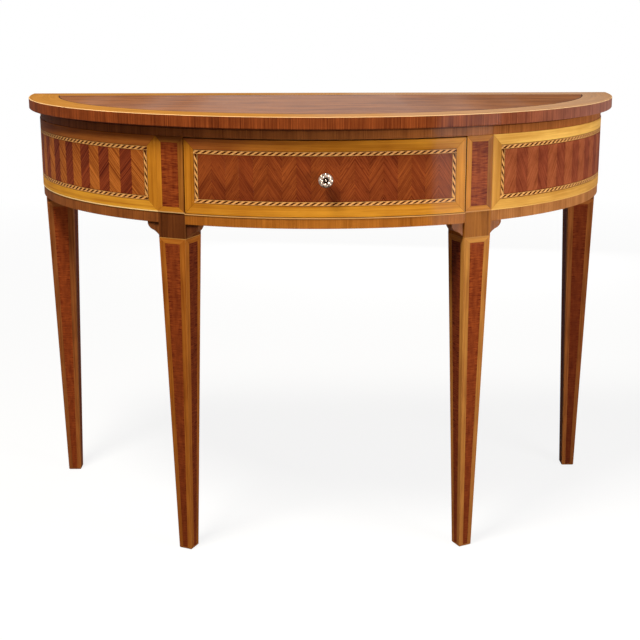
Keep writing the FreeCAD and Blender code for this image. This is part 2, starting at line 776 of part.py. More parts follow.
def frieze_band(front_end, low, high):
    """Plain band in three lengths: along each apron, and across the front between two like ends."""
    side = strip(band_curve, core_curve, block_outer, rear_plane, low, high)
    front = strip(band_curve, core_curve, front_end.mirrored(), front_end, low, high)
    return [side, mirrored(side), front]


def build_rails(rail_tenon, rail_tail, back_tenon):
    """Rails and their bands, the bars that carry the drawer, the glue blocks, and the screws into the top."""
    lower_bar = runner(apron_bottom, frieze_bottom)
    upper_bar = runner(frieze_top, top_underside)
    bars = [lower_bar, mirrored(lower_bar), upper_bar, mirrored(upper_bar)]
    bar_x = (runner_inner + runner_outer) / 2
    third = (back_rail_front - front_rail_back) / 3
    rail_y = (front_rail_back + rear_y - core_curve[1]) / 2
    places = [(side * bar_x, front_rail_back + third * step) for side in (-1, 1) for step in (1, 2)]
    places += [(side * stop_offset, rail_y) for side in (-1, 1)]
    length = upper_rail_height + top_screw_bite
    holes = wood_screws(places, frieze_top, length, screw_clearance)
    save("upper_front_rail", front_rail(frieze_top, top_underside, rail_tail).cut(bars[2:] + holes))
    save("lower_front_rail", front_rail(apron_bottom, frieze_bottom, rail_tenon).cut(bars[:2]))
    save("back_rail", back_rail(back_tenon).cut(bars))
    save_pair("drawer_runner", lower_bar)
    save_pair("drawer_kicker", upper_bar.cut(holes))
    save_pair("drawer_guide", guide())
    save("drawer_stops", *drawer_stops())
    save("top_glue_blocks", *glue_blocks())
    save("top_screws", *wood_screws(places, frieze_top, length))
    save("frieze_top_band", *frieze_band(block_outer, frieze_top, top_underside))
    save("frieze_bottom_band", *frieze_band(block_inner, apron_bottom, frieze_bottom))
    return holes


def build_top(holes):
    """Top board and its veneers."""
    core, edge, border, line, field = top_pieces()
    save("top_core", core.cut(holes))
    save("top_edge_banding", edge)
    save("top_border", *border)
    save("top_line", line)
    save("top_field", field)


def build_drawer():
    """Drawer box, its inlaid front, the knob and the screws."""
    hole = knob_screw(screw_clearance)
    floor = drawer_floor()
    tails = front_tails()
    through_tails = back_tails(drawer_floor_high, drawer_side_top - drawer_back_drop)
    back = drawer_back(through_tails)
    middle_y = (drawer_back_front + drawer_back_rear) / 2
    places = [(side * bottom_screw_spread, middle_y) for side in (-1, 0, 1)]
    length = drawer_bottom_thickness + bottom_screw_bite
    holes = wood_screws(places, drawer_floor_low, length, screw_clearance)
    low = frieze_bottom + drawer_gap
    high = frieze_top - drawer_gap
    border, rope, light, dark = inlaid_panel(drawer_end.mirrored(), drawer_end, low, high)
    save("drawer_front", drawer_core(tails, floor, hole))
    save("drawer_border", *border)
    save("drawer_rope", *rope)
    save("drawer_light_slats", *[slat.cut(hole) for slat in light])
    save("drawer_dark_slats", *[slat.cut(hole) for slat in dark])
    save_pair("drawer_side", drawer_side(tails, back, floor))
    save("drawer_back", back.cut(holes))
    save("drawer_bottom", floor.cut(holes))
    save("drawer_bottom_screws", *wood_screws(places, drawer_floor_low, length))
    save("drawer_knob", knob())
    save("drawer_knob_screw", knob_screw())


def main():
    os.makedirs("parts", exist_ok=True)
    tenons, rail_tenon, rail_tail, back_tenon = build_legs()
    build_aprons(tenons)
    holes = build_rails(rail_tenon, rail_tail, back_tenon)
    build_top(holes)
    build_drawer()


main()
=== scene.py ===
import math

import bmesh
import bpy
from mathutils import Matrix, Vector


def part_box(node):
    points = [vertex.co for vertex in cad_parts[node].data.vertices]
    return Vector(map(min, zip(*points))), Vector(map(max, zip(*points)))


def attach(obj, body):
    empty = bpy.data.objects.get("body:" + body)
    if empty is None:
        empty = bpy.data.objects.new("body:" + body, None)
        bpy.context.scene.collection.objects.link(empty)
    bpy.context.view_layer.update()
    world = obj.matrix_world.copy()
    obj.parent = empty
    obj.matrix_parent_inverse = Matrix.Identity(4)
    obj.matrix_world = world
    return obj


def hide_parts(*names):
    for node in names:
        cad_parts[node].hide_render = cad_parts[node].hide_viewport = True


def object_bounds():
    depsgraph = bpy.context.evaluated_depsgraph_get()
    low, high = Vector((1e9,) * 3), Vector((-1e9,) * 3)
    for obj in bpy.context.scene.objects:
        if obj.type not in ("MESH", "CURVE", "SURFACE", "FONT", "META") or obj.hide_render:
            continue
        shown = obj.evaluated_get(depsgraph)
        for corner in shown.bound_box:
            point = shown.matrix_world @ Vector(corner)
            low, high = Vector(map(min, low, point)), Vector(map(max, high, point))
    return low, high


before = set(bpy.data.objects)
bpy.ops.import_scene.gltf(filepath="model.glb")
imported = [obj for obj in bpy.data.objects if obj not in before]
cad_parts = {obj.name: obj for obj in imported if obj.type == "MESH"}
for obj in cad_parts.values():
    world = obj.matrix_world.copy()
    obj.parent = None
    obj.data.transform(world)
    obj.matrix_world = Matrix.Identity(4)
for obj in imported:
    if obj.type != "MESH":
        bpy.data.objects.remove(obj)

cad_low, cad_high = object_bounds()

# Sizes of the table in metres, the main ones read from the frame, and counts
rear = cad_high.y
top_half = cad_high.x
top_depth = cad_high.y - cad_low.y
table_height = cad_high.z
face_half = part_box("right_apron_border")[1].x
face_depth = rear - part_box("drawer_border")[0].y
frieze_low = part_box("right_stile_border")[0].z
frieze_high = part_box("right_stile_border")[1].z
apron_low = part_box("frieze_bottom_band")[0].z
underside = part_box("frieze_top_band")[1].z
drawer_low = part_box("drawer_border")[0].z
drawer_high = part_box("drawer_border")[1].z
block_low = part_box("leg_brackets")[0].z
knob_level = (frieze_low + frieze_high) / 2
panel_veneer = 0.0025
band_step = 0.001
border_width = 0.018
stile_border = 0.010
drawer_gap = 0.0012
slat_count = 18
rope_width = 0.008
rope_dark_line = 0.0009
rope_pale_line = 0.0007
rope_slant = 0.0086
drawer_rope_pitch = 0.0115
side_rope_pitch = 0.0121
leg_block = 0.052
leg_foot = 0.025
front_leg_offset = 0.258
foot_chamfer = 0.0015
leg_panel_depth = 0.0012
leg_margin_head = 0.0115
leg_margin_foot = 0.008
leg_head_strip = 0.010
leg_foot_strip = 0.004
leg_ease = 0.0009
leg_string_line = 0.0013
stile_recess = 0.0016
rear_swell = 0.0031
top_veneer = 0.001
top_border_width = 0.056
edge_banding = 0.0015
highlight_string_height = 0.0020
bead_line = 0.0016
shadow_line = 0.0042
bracket_reach = 0.024
bracket_lip = 0.0045
bracket_swell = 0.0021
bracket_setback = 0.0035
bracket_thickness = 0.0165
knob_petals = 8

# Finer work: sizes, dirt in joints, painted shade under the top and the play of slat tones
bend_step = 0.006
tight_ease = 0.0002
mitre_ease = 0.0003
mitre_dirt = -0.3
# Mark of the painted shadow line under the overhang of the top
shade_line_mark = -0.85
slat_play = 0.12
slat_ease = 0.00015
# Eases wider than this are painted pale, for wear and painted highlight
rubbed_and_lit_ease = 0.00055
weld_reach = 1e-6
cut_reach = 1e-7
upright_grain = math.pi / 2
tight_edges = ((tight_ease, 0.0),) * 4


def ramp(start, stop, first, last):
    """Value that runs evenly from a first to a last between two places and stays level beyond them."""
    return lambda place: first + (last - first) * min(1.0, max(0.0, (place - start) / (stop - start)))


def srgb(code):
    """Linear colour from a written hex colour."""
    channels = [int(code[i:i + 2], 16) / 255 for i in (1, 3, 5)]
    linear = [c / 12.92 if c <= 0.04045 else ((c + 0.055) / 1.055) ** 2.4 for c in channels]
    return (*linear, 1.0)


# Objects and meshes


def new_object(name, data):
    """Object in the scene that holds some data."""
    obj = bpy.data.objects.new(name, data)
    bpy.context.scene.collection.objects.link(obj)
    return obj


def mesh_object(name, points, faces, maps=(), corners=None, verts=None):
    """Mesh object with a grain map, and with named marks on its corners and on its vertices."""
    mesh = bpy.data.meshes.new(name)
    mesh.from_pydata(points, [], faces)
    if maps:
        layer = mesh.uv_layers.new(name="grain")
        for slot, place in zip(layer.data, maps):
            slot.uv = place
    for domain, marks in (("CORNER", corners or {}), ("POINT", verts or {})):
        for title, values in marks.items():
            mesh.attributes.new(title, "FLOAT", domain).data.foreach_set("value", values)
    return new_object(name, mesh)


def face_outwards(mesh, weld=False):
    """Turns all faces outwards, once the vertices that meet are joined where that is asked."""
    bm = bmesh.new()
    bm.from_mesh(mesh)
    if weld:
        bmesh.ops.remove_doubles(bm, verts=bm.verts, dist=weld_reach)
    bmesh.ops.recalc_face_normals(bm, faces=bm.faces)
    bm.to_mesh(mesh)
    bm.free()


def cut_across(bm, x):
    """New edges where a mesh passes a place along X."""
    bmesh.ops.bisect_plane(bm, geom=bm.verts[:] + bm.edges[:] + bm.faces[:], dist=cut_reach,
                           plane_co=(x, 0, 0), plane_no=(1, 0, 0))


def gather(name, objects, material):
    """One object of several, which are removed."""
    bm = bmesh.new()
    for obj in objects:
        bm.from_mesh(obj.data)
    mesh = bpy.data.meshes.new(name)
    bm.to_mesh(mesh)
    bm.free()
    for obj in objects:
        bpy.data.objects.remove(obj)
    mesh.materials.clear()
    mesh.materials.append(material)
    return new_object(name, mesh)


def flip(obj):
    """Mirror image on the left side, with its faces turned outwards again."""
    obj.data.transform(Matrix.Scale(-1, 4, (1, 0, 0)))
    obj.data.flip_normals()
    return obj


def settle(obj, body, slot, *nodes, smooth=None):
    """Rides a finished piece on its body in place of its nodes, smooth below an angle in degrees if given."""
    if smooth is not None:
        obj.data.shade_smooth()
        obj.data.set_sharp_from_angle(angle=math.radians(smooth))
    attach(obj, body)
    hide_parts(*nodes)
    return obj


def quarter_turn(turn):
    return Matrix.Rotation(math.radians(90 * turn), 3, "Z")


def rectangle(left, right, low, high):
    """Corners of an upright plate, anticlockwise from the lower left."""
    return [(left, low), (right, low), (right, high), (left, high)]


def shrunk(left, right, low, high, margin):
    return left + margin, right - margin, low + margin, high - margin


# Curves of the table seen from above


class BowCurve:
    """Half ellipse of the table, with lengths that grow to the right from 0 at the front's middle."""

    def __init__(self, half_width, depth, steps=1600):
        self.half_width = half_width
        self.depth = depth
        self.points = [self.at(math.pi * (i / steps - 0.5)) for i in range(steps + 1)]
        lengths = [0.0]
        for before, after in zip(self.points, self.points[1:]):
            lengths.append(lengths[-1] + (after - before).length)
        self.half_length = lengths[-1] / 2
        self.lengths = [length - self.half_length for length in lengths]

    def at(self, turn):
        return Vector((self.half_width * math.sin(turn), rear - self.depth * math.cos(turn), 0.0))

    def length_where(self, measure, goal):
        """Length along the right half at which a rising measure of the point reaches a goal."""
        pairs = [(measure(p), s) for p, s in zip(self.points, self.lengths) if s >= 0]
        for (low, s_low), (high, s_high) in zip(pairs, pairs[1:]):
            if low <= goal <= high:
                return s_low + (s_high - s_low) * (goal - low) / (high - low)
        return self.half_length

    def guide(self, name):
        """Curve object that the bending node tree reads."""
        data = bpy.data.curves.new(name, "CURVE")
        data.dimensions = "3D"
        spline = data.splines.new("POLY")
        spline.points.add(len(self.points) - 1)
        for slot, point in zip(spline.points, self.points):
            slot.co = (*point, 1.0)
        return new_object(name, data)


face_curve = BowCurve(face_half, face_depth)
band_curve = BowCurve(face_half - band_step, face_depth - band_step)
top_curve = BowCurve(top_half, top_depth)
face_guide = face_curve.guide("face_guide")
top_guide = top_curve.guide("top_guide")
on_face = {"guide": face_guide, "middle": face_curve.half_length}
on_top = {"guide": top_guide, "middle": top_curve.half_length}

# Place of the right front leg on the bow
leg_turn = math.asin(front_leg_offset / band_curve.half_width)
leg_point = band_curve.at(leg_turn)
leg_normal = Vector((math.sin(leg_turn) / band_curve.half_width,
                     -math.cos(leg_turn) / band_curve.depth, 0.0)).normalized()
leg_along = Vector((-leg_normal.y, leg_normal.x, 0.0))
leg_angle = math.atan2(leg_along.y, leg_along.x)
nearness = 0.001
chord = [min(band_curve.points, key=lambda p: abs((p - leg_point).dot(leg_along) - side * leg_block / 2)
             + (p - leg_point).length * nearness) for side in (-1, 1)]
leg_face = (chord[0] + chord[1]) / 2
leg_axis = leg_face - leg_normal * (leg_block / 2)


def along_leg(point):
    return (point - leg_axis).dot(leg_along)


stile_inner = face_curve.length_where(along_leg, -leg_block / 2)
stile_outer = face_curve.length_where(along_leg, leg_block / 2)
drawer_end = face_curve.length_where(along_leg, -leg_block / 2 - drawer_gap)
rear_end = face_curve.half_length


# Node trees


class Wire:
    """Output of a node. Sums of wires and numbers make math nodes."""

    def __init__(self, tree, socket):
        self.tree = tree
        self.socket = socket

    def __add__(self, other):
        return self.tree.math("ADD", self, other)

    def __sub__(self, other):
        return self.tree.math("SUBTRACT", self, other)

    def __mul__(self, other):
        return self.tree.math("MULTIPLY", self, other)

    def __truediv__(self, other):
        return self.tree.math("DIVIDE", self, other)


class Tree:
    """Node tree, with short ways to put nodes into it."""

    def __init__(self, own):
        self.own = own

    def set(self, socket, value):
        """Links an input to a wire or gives it a constant."""
        if isinstance(value, Wire):
            self.own.links.new(value.socket, socket)
        else:
            socket.default_value = value

    def node(self, kind, inputs=None, **settings):
        """New node with its settings, and its inputs by name or number."""
        node = self.own.nodes.new(kind)
        for key, value in settings.items():
            setattr(node, key, value)
        for key, value in (inputs or {}).items():
            self.set(node.inputs[key], value)
        return node

    def put(self, kind, inputs=None, output=0, **settings):
        """New node, of which one output is used."""
        return Wire(self, self.node(kind, inputs, **settings).outputs[output])

    def outputs(self, kind, inputs=None, **settings):
        """New node, of which several outputs are used."""
        return {output.name: Wire(self, output) for output in self.node(kind, inputs, **settings).outputs}

    def number(self, kind, inputs=None, **settings):
        """New node, of which the output that is a number is used."""
        outputs = self.node(kind, inputs, data_type="FLOAT", **settings).outputs
        return Wire(self, next(output for output in outputs if output.type == "VALUE" and output.enabled))

    def math(self, operation, *values, clamp=False):
        return self.put("ShaderNodeMath", dict(enumerate(values)), operation=operation, use_clamp=clamp)

    def vector(self, operation, *values):
        return self.put("ShaderNodeVectorMath", dict(enumerate(values)), operation=operation)

    def scaled(self, vector, factor):
        return self.put("ShaderNodeVectorMath", {0: vector, "Scale": factor}, operation="SCALE")

    def xyz(self, **axes):
        return self.put("ShaderNodeCombineXYZ", axes)

    def mix(self, factor, first, second, blend="MIX"):
        return self.put("ShaderNodeMix", {0: factor, 6: first, 7: second}, 2, data_type="RGBA",
                        blend_type=blend)

    def noise(self, vector, scale, detail=2.0, roughness=0.5, distortion=0.0):
        return self.put("ShaderNodeTexNoise", {"Vector": vector, "Scale": scale, "Detail": detail,
                                               "Roughness": roughness, "Distortion": distortion}, "Fac")

    def spread(self, value, low, high, to_low=0.0, to_high=1.0):
        """Value carried from one range into another, and held there."""
        return self.put("ShaderNodeMapRange", {"Value": value, "From Min": low, "From Max": high,
                                               "To Min": to_low, "To Max": to_high}, "Result")

    def attribute(self, name):
        return self.put("ShaderNodeAttribute", None, "Fac", attribute_name=name)

    def object_place(self):
        return self.put("ShaderNodeTexCoord", None, "Object")

    def seen(self):
        """1 for the eye, a reflection or a look through glass, and 0 for light that falls on the table."""
        path = self.outputs("ShaderNodeLightPath")
        return self.math("ADD", path["Is Camera Ray"] + path["Is Glossy Ray"], path["Is Transmission Ray"],
                         clamp=True)

    def row(self, shape, count, first, gap, **placing):
        """Copies of a shape at even gaps from a first place."""
        line = self.put("GeometryNodeMeshLine", {"Count": count, "Start Location": first, "Offset": gap},
                        mode="OFFSET")
        return self.put("GeometryNodeInstanceOnPoints", {"Points": line, "Instance": shape, **placing})

    def mark(self, copies, title, value):
        """The copies, each with a named number."""
        inputs = {"Geometry": copies, "Name": title, "Value": value}
        return self.put("GeometryNodeStoreNamedAttribute", inputs, data_type="FLOAT", domain="INSTANCE")

    def shape_of(self, obj):
        return self.put("GeometryNodeObjectInfo", {"Object": obj}, "Geometry", transform_space="ORIGINAL")

    def realize(self, copies):
        return self.put("GeometryNodeRealizeInstances", {0: copies})


def new_tree(name, kind, inputs, outputs):
    """Node group, its inputs as wires, and the sockets of its outputs.

    An input is written as its kind of socket, or as its default where that is a number."""
    group = bpy.data.node_groups.new(name, kind)
    for way, sockets in (("INPUT", inputs), ("OUTPUT", outputs)):
        for title, value in sockets.items():
            sort = {float: "Float", int: "Int"}.get(type(value), value)
            item = group.interface.new_socket(name=title, in_out=way, socket_type="NodeSocket" + sort)
            if sort != value:
                item.default_value = value
    tree = Tree(group)
    return tree, tree.outputs("NodeGroupInput"), tree.node("NodeGroupOutput").inputs


# Shared shader groups


def make_grain_group():
    """Grain along the first coordinate: fine fibres, drawn lines, broad stripes, mottle and short pores."""
    tree, given, result = new_tree(
        "wood_grain", "ShaderNodeTree",
        {"Grain": "Vector", "Piece": 0.0, "Light": "Color", "Dark": "Color", "Fibre": 420.0, "Lines": 0.3,
         "Pitch": 230.0, "Run": 1.0, "Stripe": 0.45, "Mottle": 0.25, "Pores": 0.4},
        {"Color": "Color", "Height": "Float", "Shine": "Float"})
    place = tree.vector("ADD", given["Grain"], tree.xyz(Z=given["Piece"]))
    pore_shade = (0.32, 0.24, 0.20, 1.0)

    def figure(along, across, *texture):
        """Noise drawn out along the grain."""
        scale = tree.xyz(X=given["Run"] * along, Y=across, Z=across)
        return tree.noise(tree.vector("MULTIPLY", place, scale), 1.0, *texture)

    def about_zero(value):
        return tree.spread(value, 0.30, 0.70) - 0.5

    fine = about_zero(figure(9.0, given["Fibre"], 4.0, 0.62))
    broad = about_zero(figure(2.4, 75.0, 2.0, 0.5, 0.5))
    cloud = about_zero(figure(16.0, 38.0))
    drawn = figure(5.0, given["Pitch"], 1.0)
    lines = tree.spread(drawn, 0.44, 0.34) - tree.spread(drawn, 0.56, 0.66)
    pores = tree.spread(figure(85.0, 1500.0, 1.0), 0.60, 0.72)
    tone = fine * 0.45 + broad * given["Stripe"] + cloud * given["Mottle"] + lines * given["Lines"]
    tone = tree.math("ADD", tone, 0.52, clamp=True)
    colour = tree.mix(tone, given["Dark"], given["Light"])
    pitted = pores * given["Pores"]
    dimmed = tree.mix(1.0, colour, pore_shade, "MULTIPLY")
    tree.set(result["Color"], tree.mix(pitted, colour, dimmed))
    tree.set(result["Height"], fine - pitted)
    tree.set(result["Shine"], fine * 0.10 + cloud * 0.10)
    return tree.own


def make_edge_wear_and_light_group():
    """Paler colour along eased edges, for wear and painted highlight, and darker colour where the mark is
    below zero, for dirt in joints and for painted shade in gaps and under the top.
    """
    tree, given, result = new_tree(
        "edge_wear_light_and_shade", "ShaderNodeTree", {"Color": "Color", "Arris": 0.0, "Wear And Highlight": "Color", "Amount": 0.5},
        {"Color": "Color"})
    # Dark colour for dirt in joints and for painted shade
    dirt_and_shade_colour = (0.16, 0.11, 0.08, 1.0)
    pale = tree.math("MULTIPLY", given["Arris"], given["Amount"], clamp=True)
    dirt = tree.math("MULTIPLY", given["Arris"], -1.0, clamp=True)
    dark = tree.mix(1.0, given["Color"], dirt_and_shade_colour, "MULTIPLY")
    rubbed_and_lit = tree.mix(pale, given["Color"], given["Wear And Highlight"])
    tree.set(result["Color"], tree.mix(dirt, rubbed_and_lit, dark))
    return tree.own


grain_group = make_grain_group()
edge_wear_and_light_group = make_edge_wear_and_light_group()


# Materials


def new_material(name):
    material = bpy.data.materials.new(name)
    material.use_nodes = True
    return material, Tree(material.node_tree), material.node_tree.nodes["Principled BSDF"]


def wood(name, light, dark, roughness=0.36, gloss=0.0, coat=0.05, axis=None, rubbed_and_lit=None, alternate=None,
         deep=None, polish=None, **figure):
    """Polished veneer or plain wood. Without an axis the grain follows the piece's own map.

    The alternate pair of colours is for pieces with a low tone and the deep pair for those below zero; these
    tones mostly paint shade and sheen, besides the wood's own tones.
    Polish is the coat's weight at the ends of the table and near a middle, and that middle.
    The figure is what the grain group takes."""
    material, tree, shader = new_material(name)
    if axis:
        turn = {"X": (0, 0, 0), "Y": (0, 0, -math.pi / 2)}[axis]
        grain = tree.put("ShaderNodeMapping", {"Vector": tree.object_place(), "Rotation": turn},
                         vector_type="POINT")
    else:
        grain = tree.put("ShaderNodeUVMap", uv_map="grain")
    colours = [srgb(light), srgb(dark)]
    if alternate:
        tone = tree.attribute("tone")
        bright = tree.math("MAXIMUM", tone, 0.0)
        colours = [tree.mix(bright, srgb(other), own) for other, own in zip(alternate, colours)]
        if deep:
            low = tree.math("MULTIPLY", tone, -1.0, clamp=True)
            colours = [tree.mix(low, own, srgb(other)) for other, own in zip(deep, colours)]
    figure = {key.capitalize(): value for key, value in figure.items()}
    pattern = tree.outputs("ShaderNodeGroup", {"Grain": grain, "Piece": tree.attribute("piece"),
                                               "Light": colours[0], "Dark": colours[1], **figure},
                           node_tree=grain_group)
    colour = pattern["Color"]
    # Pale arrises for wear and painted highlight, dark seams for dirt and painted shade
    if rubbed_and_lit:
        colour = tree.put("ShaderNodeGroup", {"Color": colour, "Arris": tree.attribute("arris"),
                                              "Wear And Highlight": srgb(rubbed_and_lit), "Amount": 0.85}, node_tree=edge_wear_and_light_group)
    if polish:
        at_ends, at_middle, middle = polish
        spot = tree.object_place()
        drawn_out = tree.put("ShaderNodeMapping", {"Vector": spot, "Scale": (11.0, 1.5, 1.0)},
                             vector_type="POINT")
        patchy = tree.noise(drawn_out, 1.0, 1.0) - 0.5
        across = tree.put("ShaderNodeSeparateXYZ", {0: spot}, "X")
        reach = tree.math("ABSOLUTE", across - middle) + patchy * 0.35
        coat = tree.spread(reach, 0.40, 0.16, at_ends, at_middle)
    bump = tree.put("ShaderNodeBump", {"Strength": 0.12, "Distance": 0.0004, "Height": pattern["Height"]})
    finish = {"Base Color": colour, "Roughness": tree.math("ADD", pattern["Shine"], roughness, clamp=True),
              "Normal": bump, "Specular IOR Level": gloss, "Coat Weight": coat, "Coat Roughness": 0.12}
    for key, value in finish.items():
        tree.set(shader.inputs[key], value)
    return material


def metal(name, colour, shade, roughness, patina_and_shade_colour=None):
    """Plated metal, duller in patches, with a darker colour, where one is given, for patina in its recesses
    and for painted shade where the mark holds it.
    """
    material, tree, shader = new_material(name)
    place = tree.object_place()
    film = tree.spread(tree.noise(place, 180.0, 3.0), 0.35, 0.65)
    plated = tree.mix(film, srgb(shade), srgb(colour))
    dull = (film + tree.noise(place, 1400.0, 2.0)) * 0.08
    if patina_and_shade_colour:
        patina_and_shade = tree.attribute("patina_and_shade")
        plated = tree.mix(patina_and_shade, plated, srgb(patina_and_shade_colour))
        dull = dull + patina_and_shade * 0.3
    for key, value in {"Base Color": plated, "Roughness": dull + roughness, "Metallic": 1.0}.items():
        tree.set(shader.inputs[key], value)
    return material


border_figure = {"lines": 0.2, "stripe": 0.55, "mottle": 0.4, "pores": 0.15}
line_figure = {"lines": 0.15, "stripe": 0.2, "pores": 0.1}
band_figure = {"fibre": 600.0, "lines": 0.2, "pitch": 400.0, "stripe": 0.35}
bare = {"gloss": 0.3, "coat": 0.0}
pine = {"roughness": 0.62, "fibre": 240.0, "pitch": 120.0, "stripe": 0.6, **bare}
oak = {"roughness": 0.55, "stripe": 0.5, "pores": 0.7, **bare}
# Golden veneer: its alternate pair is painted shade and its deep pair a redder painted shade under the top's
# overhang, besides the strips' own tones
gold_wood = wood("golden_border_veneer", "#DE9F32", "#B26D1A", rubbed_and_lit="#FFDC9A",
                 alternate=("#CC8424", "#9C5A12"), deep=("#B86A30", "#884420"), **border_figure)
# Paler copy of the golden veneer for the right panel: painted light of the window side, its alternate pair
# painted shade
lit_gold_wood = wood("lit_golden_border_veneer", "#EEBC5E", "#C88E3C", rubbed_and_lit="#FADCA0", alternate=("#C88A3A", "#9C6220"),
                **border_figure)
# Alternate pair: painted shade on the stiles' strips
stile_wood = wood("stile_border_veneer", "#C88226", "#985812", rubbed_and_lit="#FADCA0",
                  alternate=("#9C6028", "#703C16"), lines=0.2, stripe=0.5, mottle=0.4, pores=0.15)
# Alternate pair: painted shade on rear legs and shaded faces; deep pair: paler painted sheen on the right
# front leg
leg_wood = wood("leg_ground_veneer", "#BC7228", "#864412", coat=0.03, rubbed_and_lit="#CC944C",
                alternate=("#96572C", "#643419"), deep=("#C4883E", "#965C2A"),
                lines=0.25, stripe=0.5, mottle=0.4, pores=0.2)
# Alternate pair: painted shade on the blocks turned from the light
block_wood = wood("block_veneer", "#B4722C", "#784218", coat=0.015, rubbed_and_lit="#AE743C",
                  alternate=("#68341A", "#38190A"), pores=0.3)
# Alternate pair: painted shade on the leg panels turned from the light
inset_wood = wood("dark_inset_veneer", "#A04C20", "#54180A", coat=0.03, alternate=("#703018", "#3A0E06"),
                  fibre=700.0, lines=0.4, pitch=700.0, run=9.0, stripe=0.15, mottle=0.35, pores=0.6)
# Three copies of one slat veneer: each panel's contrast between light and dark slats is painted sheen, and
# the alternate pairs are painted shade
slat_wood = wood("slat_veneer", "#BA6A2A", "#7E3A10", alternate=("#8E401C", "#521A0A"),
                 fibre=900.0, lines=0.34, pitch=1000.0, stripe=0.14, mottle=0.5, pores=0.8)
strong_sheen_slat_wood = wood("slat_veneer_strong_sheen", "#C4722E", "#78360E", alternate=("#904020", "#501A0C"),
                      fibre=900.0, lines=0.5, pitch=900.0, stripe=0.12, mottle=0.3, pores=0.7)
faint_sheen_slat_wood = wood("slat_veneer_faint_sheen", "#AE6038", "#844020", alternate=("#8E4228", "#602616"),
                      fibre=700.0, pitch=420.0, run=2.5, stripe=0.25, mottle=0.6, pores=0.45)
pale_lozenge = wood("pale_lozenge", "#EDB46C", "#CE8C44", **line_figure)
leg_string_wood = wood("leg_string", "#BE8844", "#96622C", **line_figure)
dark_lozenge = wood("dark_lozenge", "#5C2A10", "#361406", **line_figure)
top_band_wood = wood("top_band_veneer", "#AE6832", "#723E1A", rubbed_and_lit="#B47844", pores=0.35, **band_figure)
# Alternate pair: painted shade at the left end; deep pair: paler painted sheen at the right end
bottom_band_wood = wood("bottom_band_veneer", "#B87028", "#824610", rubbed_and_lit="#F4C078",
                        alternate=("#96562A", "#64341A"), deep=("#BE8048", "#8C5428"),
                        mottle=0.4, pores=0.3, **band_figure)
# Alternate pair, paler and pinker: painted sheen of reflected light
top_edge_wood = wood("edge_banding_veneer", "#964A20", "#54220A", rubbed_and_lit="#E8BE86",
                     alternate=("#B0745E", "#7A4E44"),
                     fibre=700.0, lines=0.4, pitch=520.0, stripe=0.3, mottle=0.4, pores=0.45)
top_border_wood = wood("border_of_top_veneer", "#B87E34", "#92601E", 0.26, polish=(0.03, 0.24, 0.30),
                       lines=0.2, pores=0.15)
top_field_wood = wood("top_field_veneer", "#985D2D", "#653616", 0.26, axis="X", polish=(0.05, 0.23, -0.02),
                      lines=0.45, pitch=300.0, stripe=0.7, mottle=0.5)
line_wood = wood("dark_line_wood", "#3A1C0E", "#1E0D06", 0.30, axis="X", stripe=0.2)
# Alternate pair: painted shade on the brackets turned from the light
bracket_wood = wood("bracket_wood", "#A0602E", "#643418", rubbed_and_lit="#B47844", alternate=("#5E2E18", "#3C1A0C"),
                    stripe=0.5)
pine_x = wood("bare_pine_along", "#C9A26C", "#9E7440", axis="X", **pine)
pine_y = wood("bare_pine_across", "#C49C66", "#98703E", axis="Y", **pine)
stained_back = wood("stained_back_rail", "#8A5A32", "#5E3619", 0.55, axis="X", fibre=260.0, stripe=0.6,
                    **bare)
oak_x = wood("bare_oak_along", "#CBA972", "#A07C48", axis="X", **oak)
oak_y = wood("bare_oak_across", "#C7A46C", "#9A7643", axis="Y", **oak)
nickel = metal("polished_nickel", "#DCC6B2", "#A48C7C", 0.12, "#2A1A12")
steel = metal("zinc_steel", "#A9A8A4", "#7C7A76", 0.30)


# Geometry node trees

geometry = {"Geometry": "Geometry"}
bow_inputs = {"Guide": "Object", "Middle": 0.0, "Material": "Material"}


def make_bend_tree():
    """Bends flat pieces onto a curve: X runs along it, Y goes inwards from it, Z stays upright."""
    tree, given, result = new_tree("bend_onto_bow", "GeometryNodeTree",
                                   {**geometry, "Guide": "Object", "Middle": 0.0}, geometry)
    flat = tree.outputs("ShaderNodeSeparateXYZ", {0: tree.put("GeometryNodeInputPosition")})
    inputs = {"Curves": tree.shape_of(given["Guide"]), "Length": flat["X"] + given["Middle"]}
    bow = tree.outputs("GeometryNodeSampleCurve", inputs, mode="LENGTH", use_all_curves=True)
    inward = tree.scaled(tree.vector("CROSS_PRODUCT", (0, 0, 1), bow["Tangent"]), flat["Y"])
    bent = tree.vector("ADD", tree.vector("ADD", bow["Position"], inward), tree.xyz(Z=flat["Z"]))
    moved = tree.put("GeometryNodeSetPosition", {"Geometry": given["Geometry"], "Position": bent})
    tree.set(result["Geometry"], moved)
    return tree.own


bend_tree = make_bend_tree()


def bend(tree, given, pieces):
    inputs = {"Geometry": pieces, "Guide": given["Guide"], "Middle": given["Middle"]}
    return tree.put("GeometryNodeGroup", inputs, node_tree=bend_tree)


def end_tree(tree, given, result, pieces):
    """Makes copies real, gives the pieces their material and hands them on as the result."""
    inputs = {"Geometry": tree.realize(pieces), "Material": given["Material"]}
    dressed = tree.put("GeometryNodeSetMaterial", inputs)
    tree.set(result["Geometry"], dressed)
    return dressed


def make_plate_tree():
    """Bends ready-cut flat veneers onto the bow."""
    tree, given, result = new_tree("bent_veneers", "GeometryNodeTree", {**geometry, **bow_inputs}, geometry)
    end_tree(tree, given, result, bend(tree, given, given["Geometry"]))
    return tree.own


